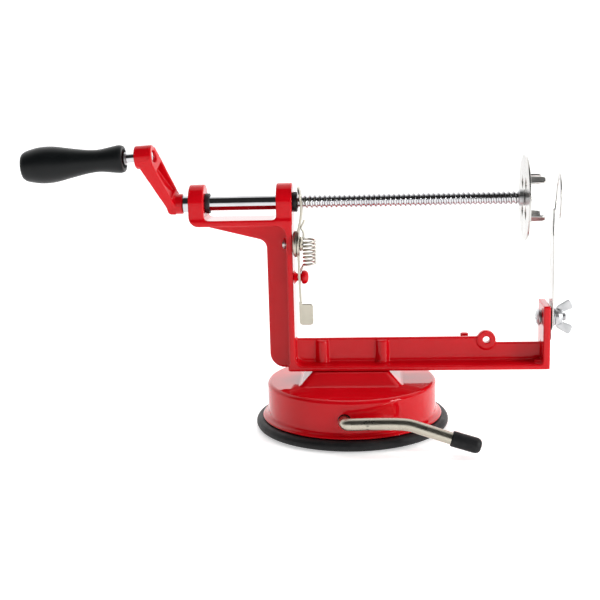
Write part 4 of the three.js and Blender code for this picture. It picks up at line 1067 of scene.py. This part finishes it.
# how strongly each part of the world shines
DARK_ROOM = 0.03
BRIGHT_SIDES = 1.06
BRIGHT_BACK = 1.9


def studio():
    """A bright sweep behind and above the object, and a darker room in front of it."""
    world = bpy.data.worlds.new("studio")
    bpy.context.scene.world = world
    world.use_nodes = True
    tree = world.node_tree
    background = tree.nodes["Background"]
    direction = tree.nodes.new("ShaderNodeTexCoord").outputs["Generated"]
    split = tree.nodes.new("ShaderNodeSeparateXYZ")
    tree.links.new(direction, split.inputs["Vector"])

    def ramp(source, low, high, start, end):
        node = tree.nodes.new("ShaderNodeMapRange")
        node.interpolation_type = "SMOOTHSTEP"
        for socket, value in (("From Min", low), ("From Max", high), ("To Min", start), ("To Max", end)):
            node.inputs[socket].default_value = value
        tree.links.new(source, node.inputs["Value"])
        return node.outputs["Result"]

    def product(first, second):
        node = tree.nodes.new("ShaderNodeMath")
        node.operation = "MULTIPLY"
        tree.links.new(first, node.inputs[0])
        tree.links.new(second, node.inputs[1])
        return node.outputs["Value"]

    # the dark part is the quarter in front of the object, from just above the horizon to overhead
    in_front = ramp(split.outputs["Y"], -0.02, 0.16, 1.0, 0.0)
    lift = tree.nodes.new("ShaderNodeMath")
    lift.operation = "MULTIPLY_ADD"
    lift.inputs[1].default_value = 0.1
    tree.links.new(split.outputs["Y"], lift.inputs[0])
    tree.links.new(split.outputs["Z"], lift.inputs[2])
    high = ramp(lift.outputs["Value"], -0.03, 0.08, 0.0, 1.0)
    room = product(in_front, high)
    mix = tree.nodes.new("ShaderNodeMix")
    mix.data_type = "FLOAT"
    tree.links.new(room, mix.inputs["Factor"])
    tree.links.new(ramp(split.outputs["Y"], 0.3, 0.95, BRIGHT_SIDES, BRIGHT_BACK), mix.inputs["A"])
    mix.inputs["B"].default_value = DARK_ROOM
    background.inputs["Color"].default_value = (1, 1, 1, 1)
    tree.links.new(mix.outputs["Result"], background.inputs["Strength"])


studio()


def lamp(name, place, aim, size, power, shiny):
    """A soft box in metres and watts; shiny says whether reflections show it."""
    data = bpy.data.lights.new(name, "AREA")
    data.shape = "RECTANGLE"
    data.size, data.size_y = size
    data.energy = power
    obj = bpy.data.objects.new(name, data)
    bpy.context.scene.collection.objects.link(obj)
    obj.location = place
    obj.rotation_euler = (Vector(aim) - Vector(place)).to_track_quat("-Z", "Y").to_euler()
    obj.visible_glossy = shiny


lamp("overhead", (0.1, 0.25, 1.3), (0, 0, 0.1), (1.6, 0.8), 5, shiny=False)
lamp("front_fill", (0.5, -1.1, 1.35), (0, 0, 0.1), (1.0, 0.6), 4.0, shiny=False)
lamp("side_key", (0.98, -0.52, 0.42), (0.02, 0, 0.06), (0.3, 0.5), 7.0, shiny=True)


# metres, millimetres and degrees
CAMERA_PLACE = (0.01827, -0.68746, 0.22098)
CAMERA_LENS = 67.68
CAMERA_YAW, CAMERA_PITCH, CAMERA_ROLL = 4.114, 11.6, 1.562


def camera():
    yaw, pitch, roll = math.radians(CAMERA_YAW), math.radians(CAMERA_PITCH), math.radians(CAMERA_ROLL)
    forward = Vector((-math.sin(yaw) * math.cos(pitch), math.cos(yaw) * math.cos(pitch), -math.sin(pitch)))
    right = forward.cross(Vector((0, 0, 1))).normalized()
    up = right.cross(forward)
    x_axis = right * math.cos(roll) - up * math.sin(roll)
    y_axis = right * math.sin(roll) + up * math.cos(roll)
    data = bpy.data.cameras.new("camera")
    data.sensor_width = 36
    data.lens = CAMERA_LENS
    data.clip_start = 0.01
    obj = bpy.data.objects.new("camera", data)
    bpy.context.scene.collection.objects.link(obj)
    turn = Matrix((x_axis, y_axis, -forward)).transposed().to_4x4()
    obj.matrix_world = Matrix.Translation(CAMERA_PLACE) @ turn
    bpy.context.scene.camera = obj


camera()
bpy.context.scene.view_settings.view_transform = "Standard"
